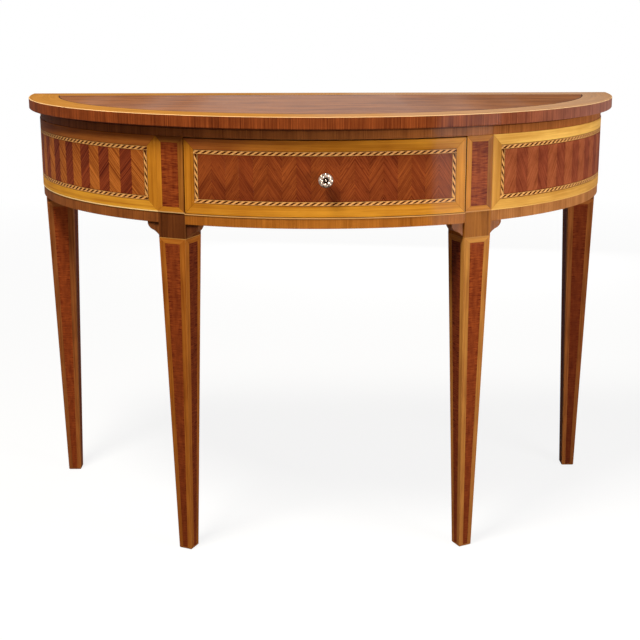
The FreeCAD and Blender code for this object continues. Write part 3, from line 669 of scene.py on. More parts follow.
def make_slat_tree():
    """Row of equal slats at a pitch, cut one after another from the same leaf, bent onto the bow."""
    tree, given, result = new_tree(
        "slat_row", "GeometryNodeTree",
        {**geometry, "Count": 9, "Start": 0.0, "Pitch": 0.05, "Leaf": 0.0, "Drift": 0.01, "Tone": 1.0,
         "Play": 0.1, "Seed": 1, **bow_inputs}, geometry)
    copies = tree.row(given["Geometry"], given["Count"], tree.xyz(X=given["Start"]),
                      tree.xyz(X=given["Pitch"]))
    leaf = tree.put("GeometryNodeInputIndex") * given["Drift"] + given["Leaf"]
    chance = tree.number("FunctionNodeRandomValue", {"Seed": given["Seed"]})
    tone = tree.math("ADD", (chance - 0.5) * given["Play"], given["Tone"], clamp=True)
    marked = tree.mark(tree.mark(copies, "piece", leaf), "tone", tone)
    end_tree(tree, given, result, bend(tree, given, tree.realize(marked)))
    return tree.own


def make_rope_tree():
    """Frame of rope banding: four runs of lozenges round a panel, bent onto the bow."""
    tree, given, result = new_tree(
        "rope_frame", "GeometryNodeTree",
        {**geometry, "Left": 0.0, "Right": 0.1, "Low": 0.0, "High": 0.1, "Width": rope_width,
         "Pitch": drawer_rope_pitch, "Dark": "Material", **bow_inputs}, geometry)
    half = given["Width"] * 0.5
    runs = tree.node("GeometryNodeJoinGeometry")
    level = (given["Left"], given["Right"], given["Low"], given["High"])
    upright = (given["Low"] + given["Width"], given["High"] - given["Width"], given["Left"], given["Right"])
    for along, across, turn, ends in (("X", "Z", 0, level), ("Z", "X", -math.pi / 2, upright)):
        start, stop, near, far = ends
        length = stop - start
        count = tree.math("ROUND", length / given["Pitch"])
        pitch = length / count
        size = tree.xyz(X=pitch / given["Pitch"], Y=1.0, Z=1.0)
        for middle in (near + half, far - half):
            first = tree.xyz(**{along: start, across: middle})
            tree.set(runs.inputs[0], tree.row(given["Geometry"], count, first, tree.xyz(**{along: pitch}),
                                              Rotation=(0, turn, 0), Scale=size))
    chance = tree.number("FunctionNodeRandomValue", {"Seed": 5})
    marked = tree.mark(Wire(tree, runs.outputs[0]), "piece", chance)
    dressed = end_tree(tree, given, result, bend(tree, given, tree.realize(marked)))
    is_dark = tree.put("FunctionNodeCompare",
                       {0: tree.number("GeometryNodeInputNamedAttribute", {"Name": "dark"}), 1: 0.5},
                       data_type="FLOAT", operation="GREATER_THAN")
    inputs = {"Geometry": dressed, "Selection": is_dark, "Material": given["Dark"]}
    tree.set(result["Geometry"], tree.put("GeometryNodeSetMaterial", inputs))
    return tree.own


def make_scatter_tree():
    """Copies of one shape on the points of a mesh, turned about the given axis by an even step."""
    tree, given, result = new_tree("even_copies", "GeometryNodeTree",
                                   {**geometry, "Shape": "Object", "Turn": "Vector", "Material": "Material"},
                                   geometry)
    inputs = {"Points": given["Geometry"], "Instance": tree.shape_of(given["Shape"]),
              "Rotation": tree.scaled(given["Turn"], tree.put("GeometryNodeInputIndex"))}
    end_tree(tree, given, result, tree.put("GeometryNodeInstanceOnPoints", inputs))
    return tree.own


plate_tree = make_plate_tree()
slat_tree = make_slat_tree()
rope_tree = make_rope_tree()
scatter_tree = make_scatter_tree()


def run_tree(obj, tree, **values):
    """Runs a node tree on an object and leaves its result as the object's plain mesh."""
    modifier = obj.modifiers.new("tree", "NODES")
    modifier.node_group = tree
    sockets = {item.name: item.identifier for item in tree.interface.items_tree
               if item.item_type == "SOCKET" and item.in_out == "INPUT"}
    for key, value in values.items():
        modifier[sockets[key.capitalize()]] = value
    bpy.context.view_layer.update()
    depsgraph = bpy.context.evaluated_depsgraph_get()
    mesh = bpy.data.meshes.new_from_object(obj.evaluated_get(depsgraph), preserve_all_data_layers=True,
                                           depsgraph=depsgraph)
    obj.modifiers.clear()
    if mesh.materials and mesh.materials[0] is None:
        mesh.materials.pop(index=0)
    obj.data = mesh
    return obj


# Flat pieces


class Plates:
    """Flat veneers with eased front edges, their grain maps and their edge marks, gathered into one mesh.

    The number of a piece moves it through the grain, so that pieces differ."""

    def __init__(self):
        self.points, self.faces, self.maps, self.arris = [], [], [], []
        self.pieces, self.marks, self.tones = [], [], []

    def add_mesh(self, bm, angle, piece, mark, fold, tone):
        start = len(self.points)
        bm.verts.index_update()
        layer = bm.loops.layers.float["arris"]
        cos, sin = math.cos(angle), math.sin(angle)
        for vert in bm.verts:
            self.points.append(vert.co.copy())
            self.pieces.append(piece)
            self.marks.append(mark)
            self.tones.append(tone(vert.co.x) if callable(tone) else tone)
        for face in bm.faces:
            self.faces.append([start + vert.index for vert in face.verts])
            for loop in face.loops:
                place = loop.vert.co
                x, z = place.x if fold is None else fold - place.x, place.z
                self.maps.append((x * cos + z * sin + place.y, z * cos - x * sin))
                self.arris.append(loop[layer])

    def plate(self, outline, front=0.0, back=panel_veneer, ease=0.0005, angle=0.0, piece=0.0, mark=0.0,
              step=bend_step, fold=None, tone=1.0, wear_and_highlight=0.0, marks=None):
        """Plate with an outline of (along, height) corners, anticlockwise seen from the front.

        The ease is one size or one for each edge, the first edge running from the first corner to the second.
        A wide ease is painted pale, for wear and painted highlight, unless the edges' marks are given, and a
        last mark, for wear and painted highlight, marks the plate's face."""
        count = len(outline)
        corners = [Vector(corner) for corner in outline]
        eases = [ease] * count if isinstance(ease, float) else list(ease)
        edge_marks = marks or [1.0 if size > rubbed_and_lit_ease else wear_and_highlight for size in eases]
        inner = []
        for i, here in enumerate(corners):
            first = (here - corners[i - 1]).normalized()
            second = (corners[(i + 1) % count] - here).normalized()
            sine = first.x * second.y - first.y * second.x
            inner.append(here + (second * eases[i - 1] - first * eases[i]) / sine)
        bm = bmesh.new()
        layer = bm.loops.layers.float.new("arris")
        rims = [front + max(eases[i], eases[i - 1]) for i in range(count)]
        rings = [[bm.verts.new((p.x, depth, p.y)) for p, depth in zip(ring, depths)]
                 for ring, depths in ((inner, [front] * count), (corners, rims), (corners, [back] * count))]
        for loop in bm.faces.new(rings[0]).loops:
            loop[layer] = wear_and_highlight
        bm.faces.new(rings[2][::-1])
        for upper, lower in zip(rings, rings[1:]):
            for i in range(count):
                after = (i + 1) % count
                for loop in bm.faces.new((lower[i], lower[after], upper[after], upper[i])).loops:
                    loop[layer] = edge_marks[i]
        if step:
            low = min(c.x for c in corners)
            high = max(c.x for c in corners)
            cuts = max(1, round((high - low) / step))
            for k in range(1, cuts):
                cut_across(bm, low + (high - low) * k / cuts)
        self.add_mesh(bm, angle, piece, mark, fold, tone)
        bm.free()
        return self

    def frame(self, left, right, low, high, width, edges, seed, upper, lower=1.0, string=0.0,
              posts=(0.2, 0.3)):
        """Four mitred strips round a panel, the grain along each, and below, if given, a pale string whose
        paleness is painted highlight of the lower edge.

        The edges are the ease and the mark of each outer edge: top, bottom, left and right. Upper, lower and
        posts are the tones of the top, bottom and upright strips, which paint shade on them besides their own
        tones."""
        base = low
        if string:
            base = low + highlight_string_height
            self.plate(rectangle(left, right, low, base), ease=tight_ease, piece=seed, wear_and_highlight=string)
        rim = rectangle(left, right, base, high)
        bed = rectangle(*shrunk(left, right, low, high, width))
        strips = (((bed[3], bed[2], rim[2], rim[3]), 2, 0.0, upper),
                  ((rim[0], rim[1], bed[1], bed[0]), 0, 0.0, lower),
                  ((rim[0], bed[0], bed[3], rim[3]), 3, upright_grain, posts[0]),
                  ((bed[1], rim[1], rim[2], bed[2]), 1, upright_grain, posts[1]))
        for i, (outline, outer, angle, tone) in enumerate(strips):
            mitred = [(k - outer) % 2 == 1 for k in range(4)]
            eases = [mitre_ease if mitre else tight_ease for mitre in mitred]
            marks = [mitre_dirt if mitre else 0.0 for mitre in mitred]
            eases[outer], marks[outer] = edges[i]
            self.plate(outline, ease=eases, marks=marks, angle=angle, piece=seed + 0.13 * i, tone=tone)
        return self

    def object(self, name, matrix=None, shared=True):
        """Object of all the plates. A shape that a tree repeats gets its piece and tone from the tree."""
        points = [matrix @ p for p in self.points] if matrix else self.points
        verts = {"dark": self.marks}
        if shared:
            verts.update(piece=self.pieces, tone=self.tones)
        return mesh_object(name, points, self.faces, self.maps, {"arris": self.arris}, verts)


def on_bow(plates, name, material, bow=on_face):
    return run_tree(plates.object(name), plate_tree, material=material, **bow)


# Inlaid panels of the frieze


def rope_unit(pitch):
    """One turn of the rope: a pale lozenge, a dark one, and the dark and pale lines that edge the banding."""
    half = rope_width / 2 - rope_dark_line - rope_pale_line
    seam = half + rope_pale_line
    share = 0.50
    lift, line_lift = 0.00005, 0.00004
    unit = Plates()
    for start, stop, mark in ((0.0, share, 0.0), (share, 1.0, 1.0)):
        unit.plate([(pitch * start - rope_slant / 2, -half), (pitch * stop - rope_slant / 2, -half),
                    (pitch * stop + rope_slant / 2, half), (pitch * start + rope_slant / 2, half)],
                   front=lift * mark, ease=lift, angle=0.55, mark=mark, step=0)
    for side in (-1, 1):
        for near, far, mark in ((half, seam, 0.0), (seam, rope_width / 2, 1.0)):
            unit.plate(rectangle(0, pitch, *sorted((side * near, side * far))), front=line_lift * mark,
                       ease=line_lift, mark=mark, step=0)
    return unit


def inlaid_panel(name, body, nodes, place, slats, border, light_first, lean, angle, tones, drift, seed, upper,
                 lower, string=0.0, pitch=side_rope_pitch, edges=tight_edges):
    """Golden border, rope banding and two rows of slats of one panel, leaves opened like a book.

    The place is its left, right, low and high. The grain of the light slats leans right (1) or left (-1)."""
    strips = Plates().frame(*place, border_width, edges, seed * 0.37, upper, lower, string)
    settle(on_bow(strips, name + "_golden_border", border), body, "golden_veneer", nodes + "_border",
           smooth=25)
    left, right, low, high = shrunk(*place, border_width)
    rope = run_tree(rope_unit(pitch).object(name + "_rope_banding", shared=False), rope_tree, left=left,
                    right=right, low=low, high=high, width=rope_width, pitch=pitch, material=pale_lozenge,
                    dark=dark_lozenge, **on_face)
    settle(rope, body, "rope_banding", nodes + "_rope")
    left, right, low, high = shrunk(left, right, low, high, rope_width)
    width = (right - left) / slat_count
    for shade, parity, side, tone in (("light", 0 if light_first else 1, lean, tones[0]),
                                      ("dark", 1 if light_first else 0, -lean, tones[1])):
        blank = Plates().plate(rectangle(0, width, low, high), ease=slat_ease, angle=math.radians(angle),
                               step=width / 4, fold=None if side > 0 else width)
        row = run_tree(blank.object(name + "_" + shade + "_slats", shared=False), slat_tree,
                       count=slat_count // 2, start=left + width * parity, pitch=width * 2, leaf=seed * 0.71,
                       drift=drift, tone=tone, play=slat_play, seed=seed + parity, material=slats, **on_face)
        settle(row, body, shade + "_slat_veneer", nodes + "_" + shade + "_slats")


# Tones paint light: the drawer's top strip is painted shade, darkest at the left; the left panel's top strip
# and the right panel's bottom strip are painted shade; the pale strings are painted highlight, strong on the
# left and faint on the right; the slats' contrast is painted sheen
inlaid_panel("drawer_panel", "drawer", "drawer", (-drawer_end, drawer_end, drawer_low, drawer_high),
             slat_wood, gold_wood, light_first=True, lean=1, angle=56, tones=(0.20, 0.12), drift=0.0009,
             seed=3, upper=ramp(-drawer_end, drawer_end, -1.0, 0.9), lower=0.45, pitch=drawer_rope_pitch,
             # Top and left edges darkened as painted shade in the drawer's gaps, the right edge painted pale
             # as highlight
             edges=((0.0006, -1.0), (tight_ease, 0.0), (0.0006, -1.0), (0.0006, 0.7)))
inlaid_panel("right_panel", "table", "right_apron", (stile_outer, rear_end, frieze_low, frieze_high),
             faint_sheen_slat_wood, lit_gold_wood, light_first=True, lean=1, angle=64, tones=(0.75, 0.15), drift=0.004,
             seed=11, upper=1.0, lower=0.55, string=0.12)
inlaid_panel("left_panel", "table", "left_apron", (-rear_end, -stile_outer, frieze_low, frieze_high),
             strong_sheen_slat_wood, gold_wood, light_first=False, lean=-1, angle=45, tones=(1.0, 0.0), drift=0.004,
             seed=23, upper=-0.8, lower=1.0, string=1.0)

# Stiles on the front legs' blocks
# Tones paint shade on the left stile's top strip and on the right-hand posts; the posts' outer edges are
# darkened for joints and for painted shade in the drawer's gaps; the pale strings are painted highlight
for side, sign, post_edges, upper, string in (("right", 1, ((0.0004, -1.0), (0.0003, -0.5)), 0.8, 0.15),
                                              ("left", -1, ((0.0003, -0.5), (0.0003, -0.2)), 0.1, 0.4)):
    place = (*sorted((sign * stile_inner, sign * stile_outer)), frieze_low, frieze_high)
    strips = Plates().frame(*place, stile_border, tight_edges[:2] + post_edges, 0.7 + sign * 0.2, upper=upper,
                            string=string, posts=(1.0, 0.25))
    settle(on_bow(strips, side + "_stile_frame", stile_wood), "table", "golden_veneer",
           side + "_stile_border", smooth=25)
    inset = Plates().plate(rectangle(*shrunk(*place, stile_border)), ease=tight_ease, piece=1.3 + sign * 0.4)
    settle(on_bow(inset, side + "_stile_inset", inset_wood), "table", "panel_veneer", side + "_stile_panel")


# Plain bands above and below


def band_plates(low, high, spans, seed, bead=None, dark=False, tones=(1.0,) * 5):
    """Cross-grain band in lengths, each with its own grain.

    One length can have a proud bead along its top, painted pale as highlight, or all of them a line of
    painted shadow under the top."""
    band = Plates()
    for i, (left, right) in enumerate(spans):
        top = high
        piece = seed + i * 0.29
        # The bead's pale colour is painted highlight of the drawer's lower edge
        if i == bead:
            top = high - bead_line
            band.plate(rectangle(left, right, top, high), ease=0.0003, piece=piece, wear_and_highlight=0.65)
        # Painted shadow line along the top, under the overhang
        if dark:
            top = high - shadow_line
            band.plate(rectangle(left, right, top, high), front=band_step, ease=tight_ease,
                       angle=upright_grain, piece=piece, mark=1.0)
        band.plate(rectangle(left, right, low, top), front=band_step, ease=0.0004, angle=upright_grain,
                   piece=piece, tone=tones[i])
    return band


def shade_under_top(plates):
    """Painted shade that thickens upwards on a band below the overhang of the top, weaker at the right end,
    up to its marked line of painted shadow.
    """
    low = min(p.z for p in plates.points)
    high = max(p.z for p in plates.points)
    corners = [index for face in plates.faces for index in face]
    amount = ramp(0.42, 0.67, -0.5, -0.05)
    plates.arris = [shade_line_mark if plates.marks[index] else
                    amount(plates.points[index].x) * (plates.points[index].z - low) / (high - low)
                    for index in corners]
    return plates


left_span = (-rear_end, -stile_outer)
middle_span = (-stile_inner, stile_inner)
right_span = (stile_outer, rear_end)
top_spans = (left_span, (-stile_outer, -stile_inner), middle_span, (stile_inner, stile_outer), right_span)
# The upper band gets painted shade under the top's overhang
upper_band = shade_under_top(band_plates(frieze_high, underside, top_spans, 0.2, dark=True))
settle(on_bow(upper_band, "frieze_upper_band", top_band_wood), "table", "band_veneer", "frieze_top_band")
# Tones paint shade at the left end and sheen at the right end
lower_band = band_plates(apron_low, frieze_low, (left_span, middle_span, right_span), 0.6, bead=1,
                         tones=(0.2, 1.0, -0.9))
settle(on_bow(lower_band, "frieze_lower_band", bottom_band_wood), "table", "band_veneer",
       "frieze_bottom_band")


# Top: edge banding and border

edge_length = top_curve.half_length
# The top arris is painted pale for wear and highlight, and the right end takes the paler alternate colour as
# painted sheen
edge = Plates().plate(rectangle(-edge_length, edge_length, underside, table_height), back=edge_banding,
                      ease=(0.0012, 0.0004, 0.0008, 0.0004), angle=upright_grain, piece=0.4,
                      tone=ramp(0.25, 0.65, 1.0, 0.0), marks=(0.0, 0.0, 1.0, 0.0))
settle(on_bow(edge, "top_edge_band", top_edge_wood, on_top), "table", "top_edge_veneer", "top_edge_banding",
       smooth=30)


def top_border_strips(sections=4, steps=60):
    """Border of the top inside its edge banding: curved lengths, and a straight length along the rear."""
    low, high = table_height - top_veneer, table_height
    profile = [(edge_banding, low), (edge_banding, high - tight_ease), (edge_banding + tight_ease, high),
               (top_border_width, high), (top_border_width, low)]
    rear_limit = math.acos(top_border_width / (top_depth - top_border_width))
    points, faces, maps, pieces = [], [], [], []
    count = len(profile)
    for section in range(sections):
        start = len(points)
        for i in range(steps + 1):
            share = -1 + 2 * (section + i / steps) / sections
            for inward, height in profile:
                turn = share * (math.pi / 2 + (rear_limit - math.pi / 2) * inward / top_border_width)
                points.append((((top_half - inward) * math.sin(turn)),
                               rear - (top_depth - inward) * math.cos(turn), height))
                pieces.append(section * 0.31)
        for i in range(steps):
            for j in range(count):
                after = (j + 1) % count
                quad = [i * count + j, (i + 1) * count + j, (i + 1) * count + after, i * count + after]
                faces.append([start + at for at in quad])
                maps += [((section + at // count / steps) / sections * 2 * top_curve.half_length,
                          profile[at % count][0]) for at in quad]
        for end, order in ((0, range(count)), (steps, range(count - 1, -1, -1))):
            faces.append([start + end * count + j for j in order])
            maps += [(0.0, profile[j][0]) for j in order]
    corner = (top_half - top_border_width) * math.sin(rear_limit)
    start = len(points)
    for height in (low, high):
        for x, inward in ((-top_half, 0.0), (top_half, 0.0), (corner, top_border_width),
                          (-corner, top_border_width)):
            points.append((x, rear - inward, height))
            pieces.append(1.7)
    for ring in ((3, 2, 1, 0), (4, 5, 6, 7), (0, 1, 5, 4), (1, 2, 6, 5), (2, 3, 7, 6), (3, 0, 4, 7)):
        faces.append([start + index for index in ring])
        maps += [points[start + index][:2] for index in ring]
    obj = mesh_object("top_border_strips", points, faces, maps, verts={"piece": pieces})
    face_outwards(obj.data)
    obj.data.materials.append(top_border_wood)
    return obj


settle(top_border_strips(), "table", "top_border_veneer", "top_border", smooth=40)


# Legs


def leg_half(level):
    """Half the width of a leg's taper at a height."""
    return (leg_foot + (leg_block - leg_foot) * level / block_low) / 2


bed_levels = (leg_foot_strip, block_low - leg_head_strip)
bed_half = (leg_half(bed_levels[0]) - leg_margin_foot, leg_half(bed_levels[1]) - leg_margin_head)
bed_outline = [(-bed_half[0], bed_levels[0]), (bed_half[0], bed_levels[0]), (bed_half[1], bed_levels[1]),
               (-bed_half[1], bed_levels[1])]


class LegSkin:
    """Faces of a leg gathered with their grain maps, their marks for wear and painted highlight, and their
    finishes.
    """

    def __init__(self):
        self.points, self.faces, self.maps, self.wear_and_highlight, self.finishes = [], [], [], [], []

    def quad(self, corners, places, wear_and_highlight=0.0, turn=0, finish=0):
        start = len(self.points)
        self.points += [quarter_turn(turn) @ Vector(corner) for corner in corners]
        self.wear_and_highlight += [wear_and_highlight] * len(corners)
        self.finishes.append(finish)
        self.faces.append(list(range(start, start + len(corners))))
        self.maps += places

    def corner_strips(self, low, high, turn, finish, wear_and_highlight=0.2):
        """Rounded corner between two levels, in two strips, painted pale by its mark for wear and highlight.
        """
        for k in range(2):
            angles = [math.radians(45 * k), math.radians(45 * (k + 1))]
            strip = []
            for z, order in ((low, angles), (high, angles[::-1])):
                inner = min(leg_half(z), leg_block / 2) - leg_ease
                strip += [(inner + leg_ease * math.sin(a), -inner - leg_ease * math.cos(a), z) for a in order]
            self.quad(strip, [(p[2], turn + k * 0.001) for p in strip], wear_and_highlight, turn, finish)

    def object(self, name, materials, tones):
        """Welded object with a finish, and with the tones at foot and head, for each kind of face."""
        shades = [ramp(0.0, block_low, *pair) for pair in tones]
        tone = [shades[finish](self.points[index].z) for finish, face in zip(self.finishes, self.faces)
                for index in face]
        obj = mesh_object(name, self.points, self.faces, self.maps, {"arris": self.wear_and_highlight, "tone": tone})
        obj.data.polygons.foreach_set("material_index", self.finishes)
        for material in materials:
            obj.data.materials.append(material)
        face_outwards(obj.data, weld=True)
        return obj


def on_side(x, z, sink=0.0):
    """Point on the front face of a leg, or sunk into it."""
    return (x, -leg_half(z) + sink, z)


def leg_shaft(skin):
    """Tapered part of a leg: eased corners, mitred strips round its panels' beds, and a string line."""
    low, high = foot_chamfer, block_low - leg_string_line
    low_x, high_x = leg_half(low) - leg_ease, leg_half(high) - leg_ease
    foot = leg_half(0) - foot_chamfer
    wide = leg_block / 2 - leg_ease
    outer = [(-low_x, low), (low_x, low), (high_x, high), (-high_x, high)]
    for turn in range(4):
        for i in range(4):
            ring = [outer[i], outer[(i + 1) % 4], bed_outline[(i + 1) % 4], bed_outline[i]]
            skin.quad([on_side(*p) for p in ring],
                      [(z, x + turn) if i % 2 else (x + turn * 0.3, z) for x, z in ring], turn=turn)
            wall = [bed_outline[i], bed_outline[(i + 1) % 4]]
            skin.quad([on_side(*p) for p in wall] + [on_side(*p, leg_panel_depth) for p in wall[::-1]],
                      [(z, x) for x, z in wall + wall[::-1]], turn=turn)
        skin.quad([on_side(*p, leg_panel_depth) for p in bed_outline], [(z, x) for x, z in bed_outline],
                  turn=turn)
        skin.quad([(-foot, -foot, 0), (foot, -foot, 0), on_side(low_x, low), on_side(-low_x, low)],
                  [(0, -foot), (0, foot), (low, low_x), (low, -low_x)], 0.5, turn)
        skin.corner_strips(low, high, turn, 0)
        edge = leg_half(low)
        cut = leg_ease * (1 - math.sqrt(0.5))
        skin.quad([(foot, -foot, 0), (edge, -edge + leg_ease, low), (edge - cut, -edge + cut, low),
                   (edge - leg_ease, -edge, low)],
                  [(0, 0), (0.001, 0), (0.001, 0.001), (0, 0.001)], 0.5, turn)
        line = [(-high_x, high), (high_x, high), (wide, block_low), (-wide, block_low)]
        skin.quad([on_side(*p) for p in line], line, 0.0, turn, 2)
        skin.corner_strips(high, block_low, turn, 2, 0.0)
    sole = [(-foot, foot), (foot, foot), (foot, -foot), (-foot, -foot)]
    skin.quad([(x, y, 0) for x, y in sole], sole)


def leg_head(skin, front):
    """Block at the head of a leg: stepped back behind the stile of a front leg, swelled on a rear one."""
    half = leg_block / 2
    recess = -half + stile_recess
    wide = half - leg_ease
    round_off = wide + leg_ease * math.sqrt(0.5)
    levels = (block_low, frieze_low, underside) if front else (block_low, underside)
    for low, high in zip(levels, levels[1:]):
        stepped = front and low == frieze_low
        for turn in range(4):
            left, right, y = -wide, wide, -half
            if stepped:
                left, right, y = ((-half, half, recess), (recess, wide, -half), (-wide, wide, -half),
                                  (-wide, -recess, -half))[turn]
            ring = [(left, y, low), (right, y, low), (right, y, high), (left, y, high)]
            if front and not stepped and turn in (1, 3):
                ring.insert(3, (recess if turn == 1 else -recess, y, high))
            skin.quad(ring, [(p[2], p[0] + turn) for p in ring], turn=turn, finish=1)
            if not (stepped and turn in (0, 3)):
                skin.corner_strips(low, high, turn, 1)
    rear_rim = [(half, wide), (round_off, round_off), (wide, half), (-wide, half), (-round_off, round_off),
                (-half, wide)]
    front_rim = [(-x, -y) for x, y in rear_rim]
    if front:
        ledge = [(-half, recess)] + front_rim + [(half, recess)]
        skin.quad([(x, y, frieze_low) for x, y in ledge], ledge, finish=1)
        front_rim = [(-half, recess), (half, recess)]
    else:
        swell = [(wide, -wide), (half, -wide), (half + rear_swell, half), (wide, half)]
        for i in range(4):
            (x0, y0), (x1, y1) = swell[i], swell[(i + 1) % 4]
            ring = [(x0, y0, apron_low), (x1, y1, apron_low), (x1, y1, underside), (x0, y0, underside)]
            skin.quad(ring, [(p[2], p[0] + p[1]) for p in ring], finish=1)
        skin.quad([(x, y, apron_low) for x, y in swell[::-1]], swell[::-1], finish=1)
        skin.quad([(x, y, underside) for x, y in swell], swell, finish=1)
    skin.quad([(x, y, underside) for x, y in front_rim + rear_rim], front_rim + rear_rim, finish=1)


def leg_inlays(name, tones):
    """The four dark panels of a leg: tapered plates, the grain across, with tones at foot and head."""
    single = Plates().plate(bed_outline, back=leg_panel_depth, ease=slat_ease, step=0)
    plates = Plates()
    for turn, pair in enumerate(tones):
        start = len(plates.points)
        plates.points += [quarter_turn(turn) @ Vector((p.x, p.y - leg_half(p.z), p.z)) for p in single.points]
        plates.faces += [[start + index for index in face] for face in single.faces]
        plates.maps += [(u + turn, v) for u, v in single.maps]
        plates.arris += single.arris
        plates.marks += single.marks
        plates.pieces += [turn * 0.23] * len(single.points)
        plates.tones += [ramp(0.0, block_low, *pair)(p.z) for p in single.points]
    obj = plates.object(name)
    obj.data.materials.append(inset_wood)
    return obj


front_place = Matrix.Translation(leg_axis) @ Matrix.Rotation(leg_angle, 4, "Z")
rear_leg_low, rear_leg_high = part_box("right_rear_leg_panels")
rear_place = Matrix.Translation(((rear_leg_low.x + rear_leg_high.x) / 2, rear - leg_block / 2, 0.0))
leg_places = {"front": front_place, "rear": rear_place}

# Tones at foot and head of the ground, block and string line of each leg, and of its four panels: low tones
# are painted shade, and the right front leg's ground below zero is a paler painted sheen
leg_tones = {
    ("right", "front"): (((-0.4, -1.0), (0.8, 0.8), (1.0, 1.0)),
                         ((0.5, 1.0), (1.0, 1.0), (1.0, 1.0), (0.45, 0.3))),
    ("left", "front"): (((0.65, 1.0), (0.1, 0.1), (1.0, 1.0)),
                        ((0.75, 1.1), (1.0, 1.0), (1.0, 1.0), (0.6, 0.35))),
    ("right", "rear"): (((0.2, 0.2), (0.3, 0.3), (0.5, 0.5)),
                        ((0.25, 0.4), (1.0, 1.0), (1.0, 1.0), (0.2, 0.2))),
    ("left", "rear"): (((0.2, 0.1), (0.1, 0.1), (0.5, 0.5)),
                       ((0.9, 1.0), (1.0, 1.0), (1.0, 1.0), (0.4, 0.1)))}
for (side, end), (ground_tones, panel_tones) in leg_tones.items():
    leg = side + "_" + end + "_leg"
    skin = LegSkin()
    leg_shaft(skin)
    leg_head(skin, end == "front")
    line_finish = leg_string_wood if end == "front" else leg_wood
    body = skin.object(leg + "_body", (leg_wood, block_wood, line_finish), ground_tones)
    inlays = leg_inlays(leg + "_inlays", panel_tones)
    for obj in (body, inlays):
        obj.data.transform(leg_places[end])
        if side == "left":
            flip(obj)
    settle(body, "table", "leg_veneer", leg)
    settle(inlays, "table", "panel_veneer", leg + "_panels")


# Brackets under the apron


def bracket_outline(side):
    """Outline of an ogee bracket beside a front leg, anticlockwise as seen from the front."""
    drop = apron_low - block_low
    steps = 12
    lip, toe = Vector((bracket_reach, -bracket_lip)), Vector((0.0, -drop))
    normal = Vector((drop - bracket_lip, -bracket_reach)).normalized()
    swells = [bracket_swell * math.sin(k / 6 * math.pi) * (1.0 if k < 6 else 0.4) for k in range(steps + 1)]
    curve = [lip.lerp(toe, k / steps) + normal * swell for k, swell in enumerate(swells)]
    outline = [Vector((0.0, 0.0)), *curve[::-1], Vector((bracket_reach, 0.0))]
    points = [(side * (leg_block / 2 + p.x), apron_low + p.y) for p in outline]
    return points if side > 0 else points[::-1]


def bracket_pair(tones):
    """The brackets of one front leg: the outer one, then the inner one, with their tones."""
    pair = Plates()
    front = bracket_setback - leg_block / 2
    back = bracket_setback + bracket_thickness - leg_block / 2
    for side, tone in zip((1, -1), tones):
        outline = bracket_outline(side)
        # Edges painted pale for wear and highlight
        pair.plate(outline, front=front, back=back, ease=0.0007, angle=upright_grain, piece=side * 0.3,
                   step=0, tone=tone, marks=[0.25] * len(outline))
    return pair.object("bracket_pair", front_place)


# Lower tones on the left leg's brackets and on the inner ones are painted shade
bracket_pairs = [bracket_pair((1.0, 0.75)), flip(bracket_pair((0.55, 0.15)))]
settle(gather("ogee_brackets", bracket_pairs, bracket_wood), "table", "leg_veneer", "leg_brackets")


# Knob and screws


def turned(name, profile, sides, centre, axis):
    """Lathe piece from (radius, height, hollow) rows, the first and last row on the axis or closed flat."""
    spin = Vector((0, 0, 1)).rotation_difference(Vector(axis)).to_matrix()
    points, patina_and_shade_marks, rows, faces = [], [], [], []
    for radius, height, patina_and_shade in profile:
        count = sides if radius else 1
        rows.append(range(len(points), len(points) + count))
        for k in range(count):
            turn = 2 * math.pi * k / sides
            points.append(spin @ Vector((radius * math.cos(turn), radius * math.sin(turn), height)) + centre)
            patina_and_shade_marks.append(patina_and_shade)
    for low, high in zip(rows, rows[1:]):
        for k in range(sides):
            ring = [row[at % len(row)] for row, at in ((low, k), (low, k + 1), (high, k + 1), (high, k))]
            faces.append(list(dict.fromkeys(ring)))
    faces += [list(row) for row in (rows[0], rows[-1]) if len(row) > 1]
    obj = mesh_object(name, points, faces, verts={"patina_and_shade": patina_and_shade_marks})
    face_outwards(obj.data)
    return obj


def knob_petal(across=6, along=7):
    """One petal of the knob: a low dome lying outwards along X, its back to the drawer."""
    root, length, half_width = 0.0046, 0.0074, 0.0043
    level, dome, curl = 0.0146, 0.0031, 0.0012
    points, patina_and_shade = [], []
    for i in range(along + 1):
        u = i / along
        half = half_width * math.sin(math.pi * (0.16 + 0.74 * u)) ** 0.7
        for j in range(across + 1):
            v = -1 + 2 * j / across
            crown = (1 - v * v) ** 0.6 * math.sin(math.pi * (0.06 + 0.88 * u)) ** 0.6
            points.append((root + length * u - curl * v * v * u, -level - dome * crown, half * v))
            patina_and_shade.append(max(0.0, 1.0 - 1.6 * crown))

    def at(i, j):
        return i * (across + 1) + j

    faces = [(at(i, j), at(i, j + 1), at(i + 1, j + 1), at(i + 1, j))
             for i in range(along) for j in range(across)]
    rim = [at(0, j) for j in range(across + 1)] + [at(i, across) for i in range(1, along + 1)]
    rim += [at(along, j) for j in range(across - 1, -1, -1)] + [at(i, 0) for i in range(along - 1, 0, -1)]
    obj = mesh_object("knob_petal", points, faces + [rim], verts={"patina_and_shade": patina_and_shade})
    face_outwards(obj.data)
    return obj


def copies_on(name, places, shape, turn, material):
    """Copies of a shape on loose points, each turned a step further."""
    return run_tree(mesh_object(name, places, []), scatter_tree, shape=shape, turn=turn, material=material)


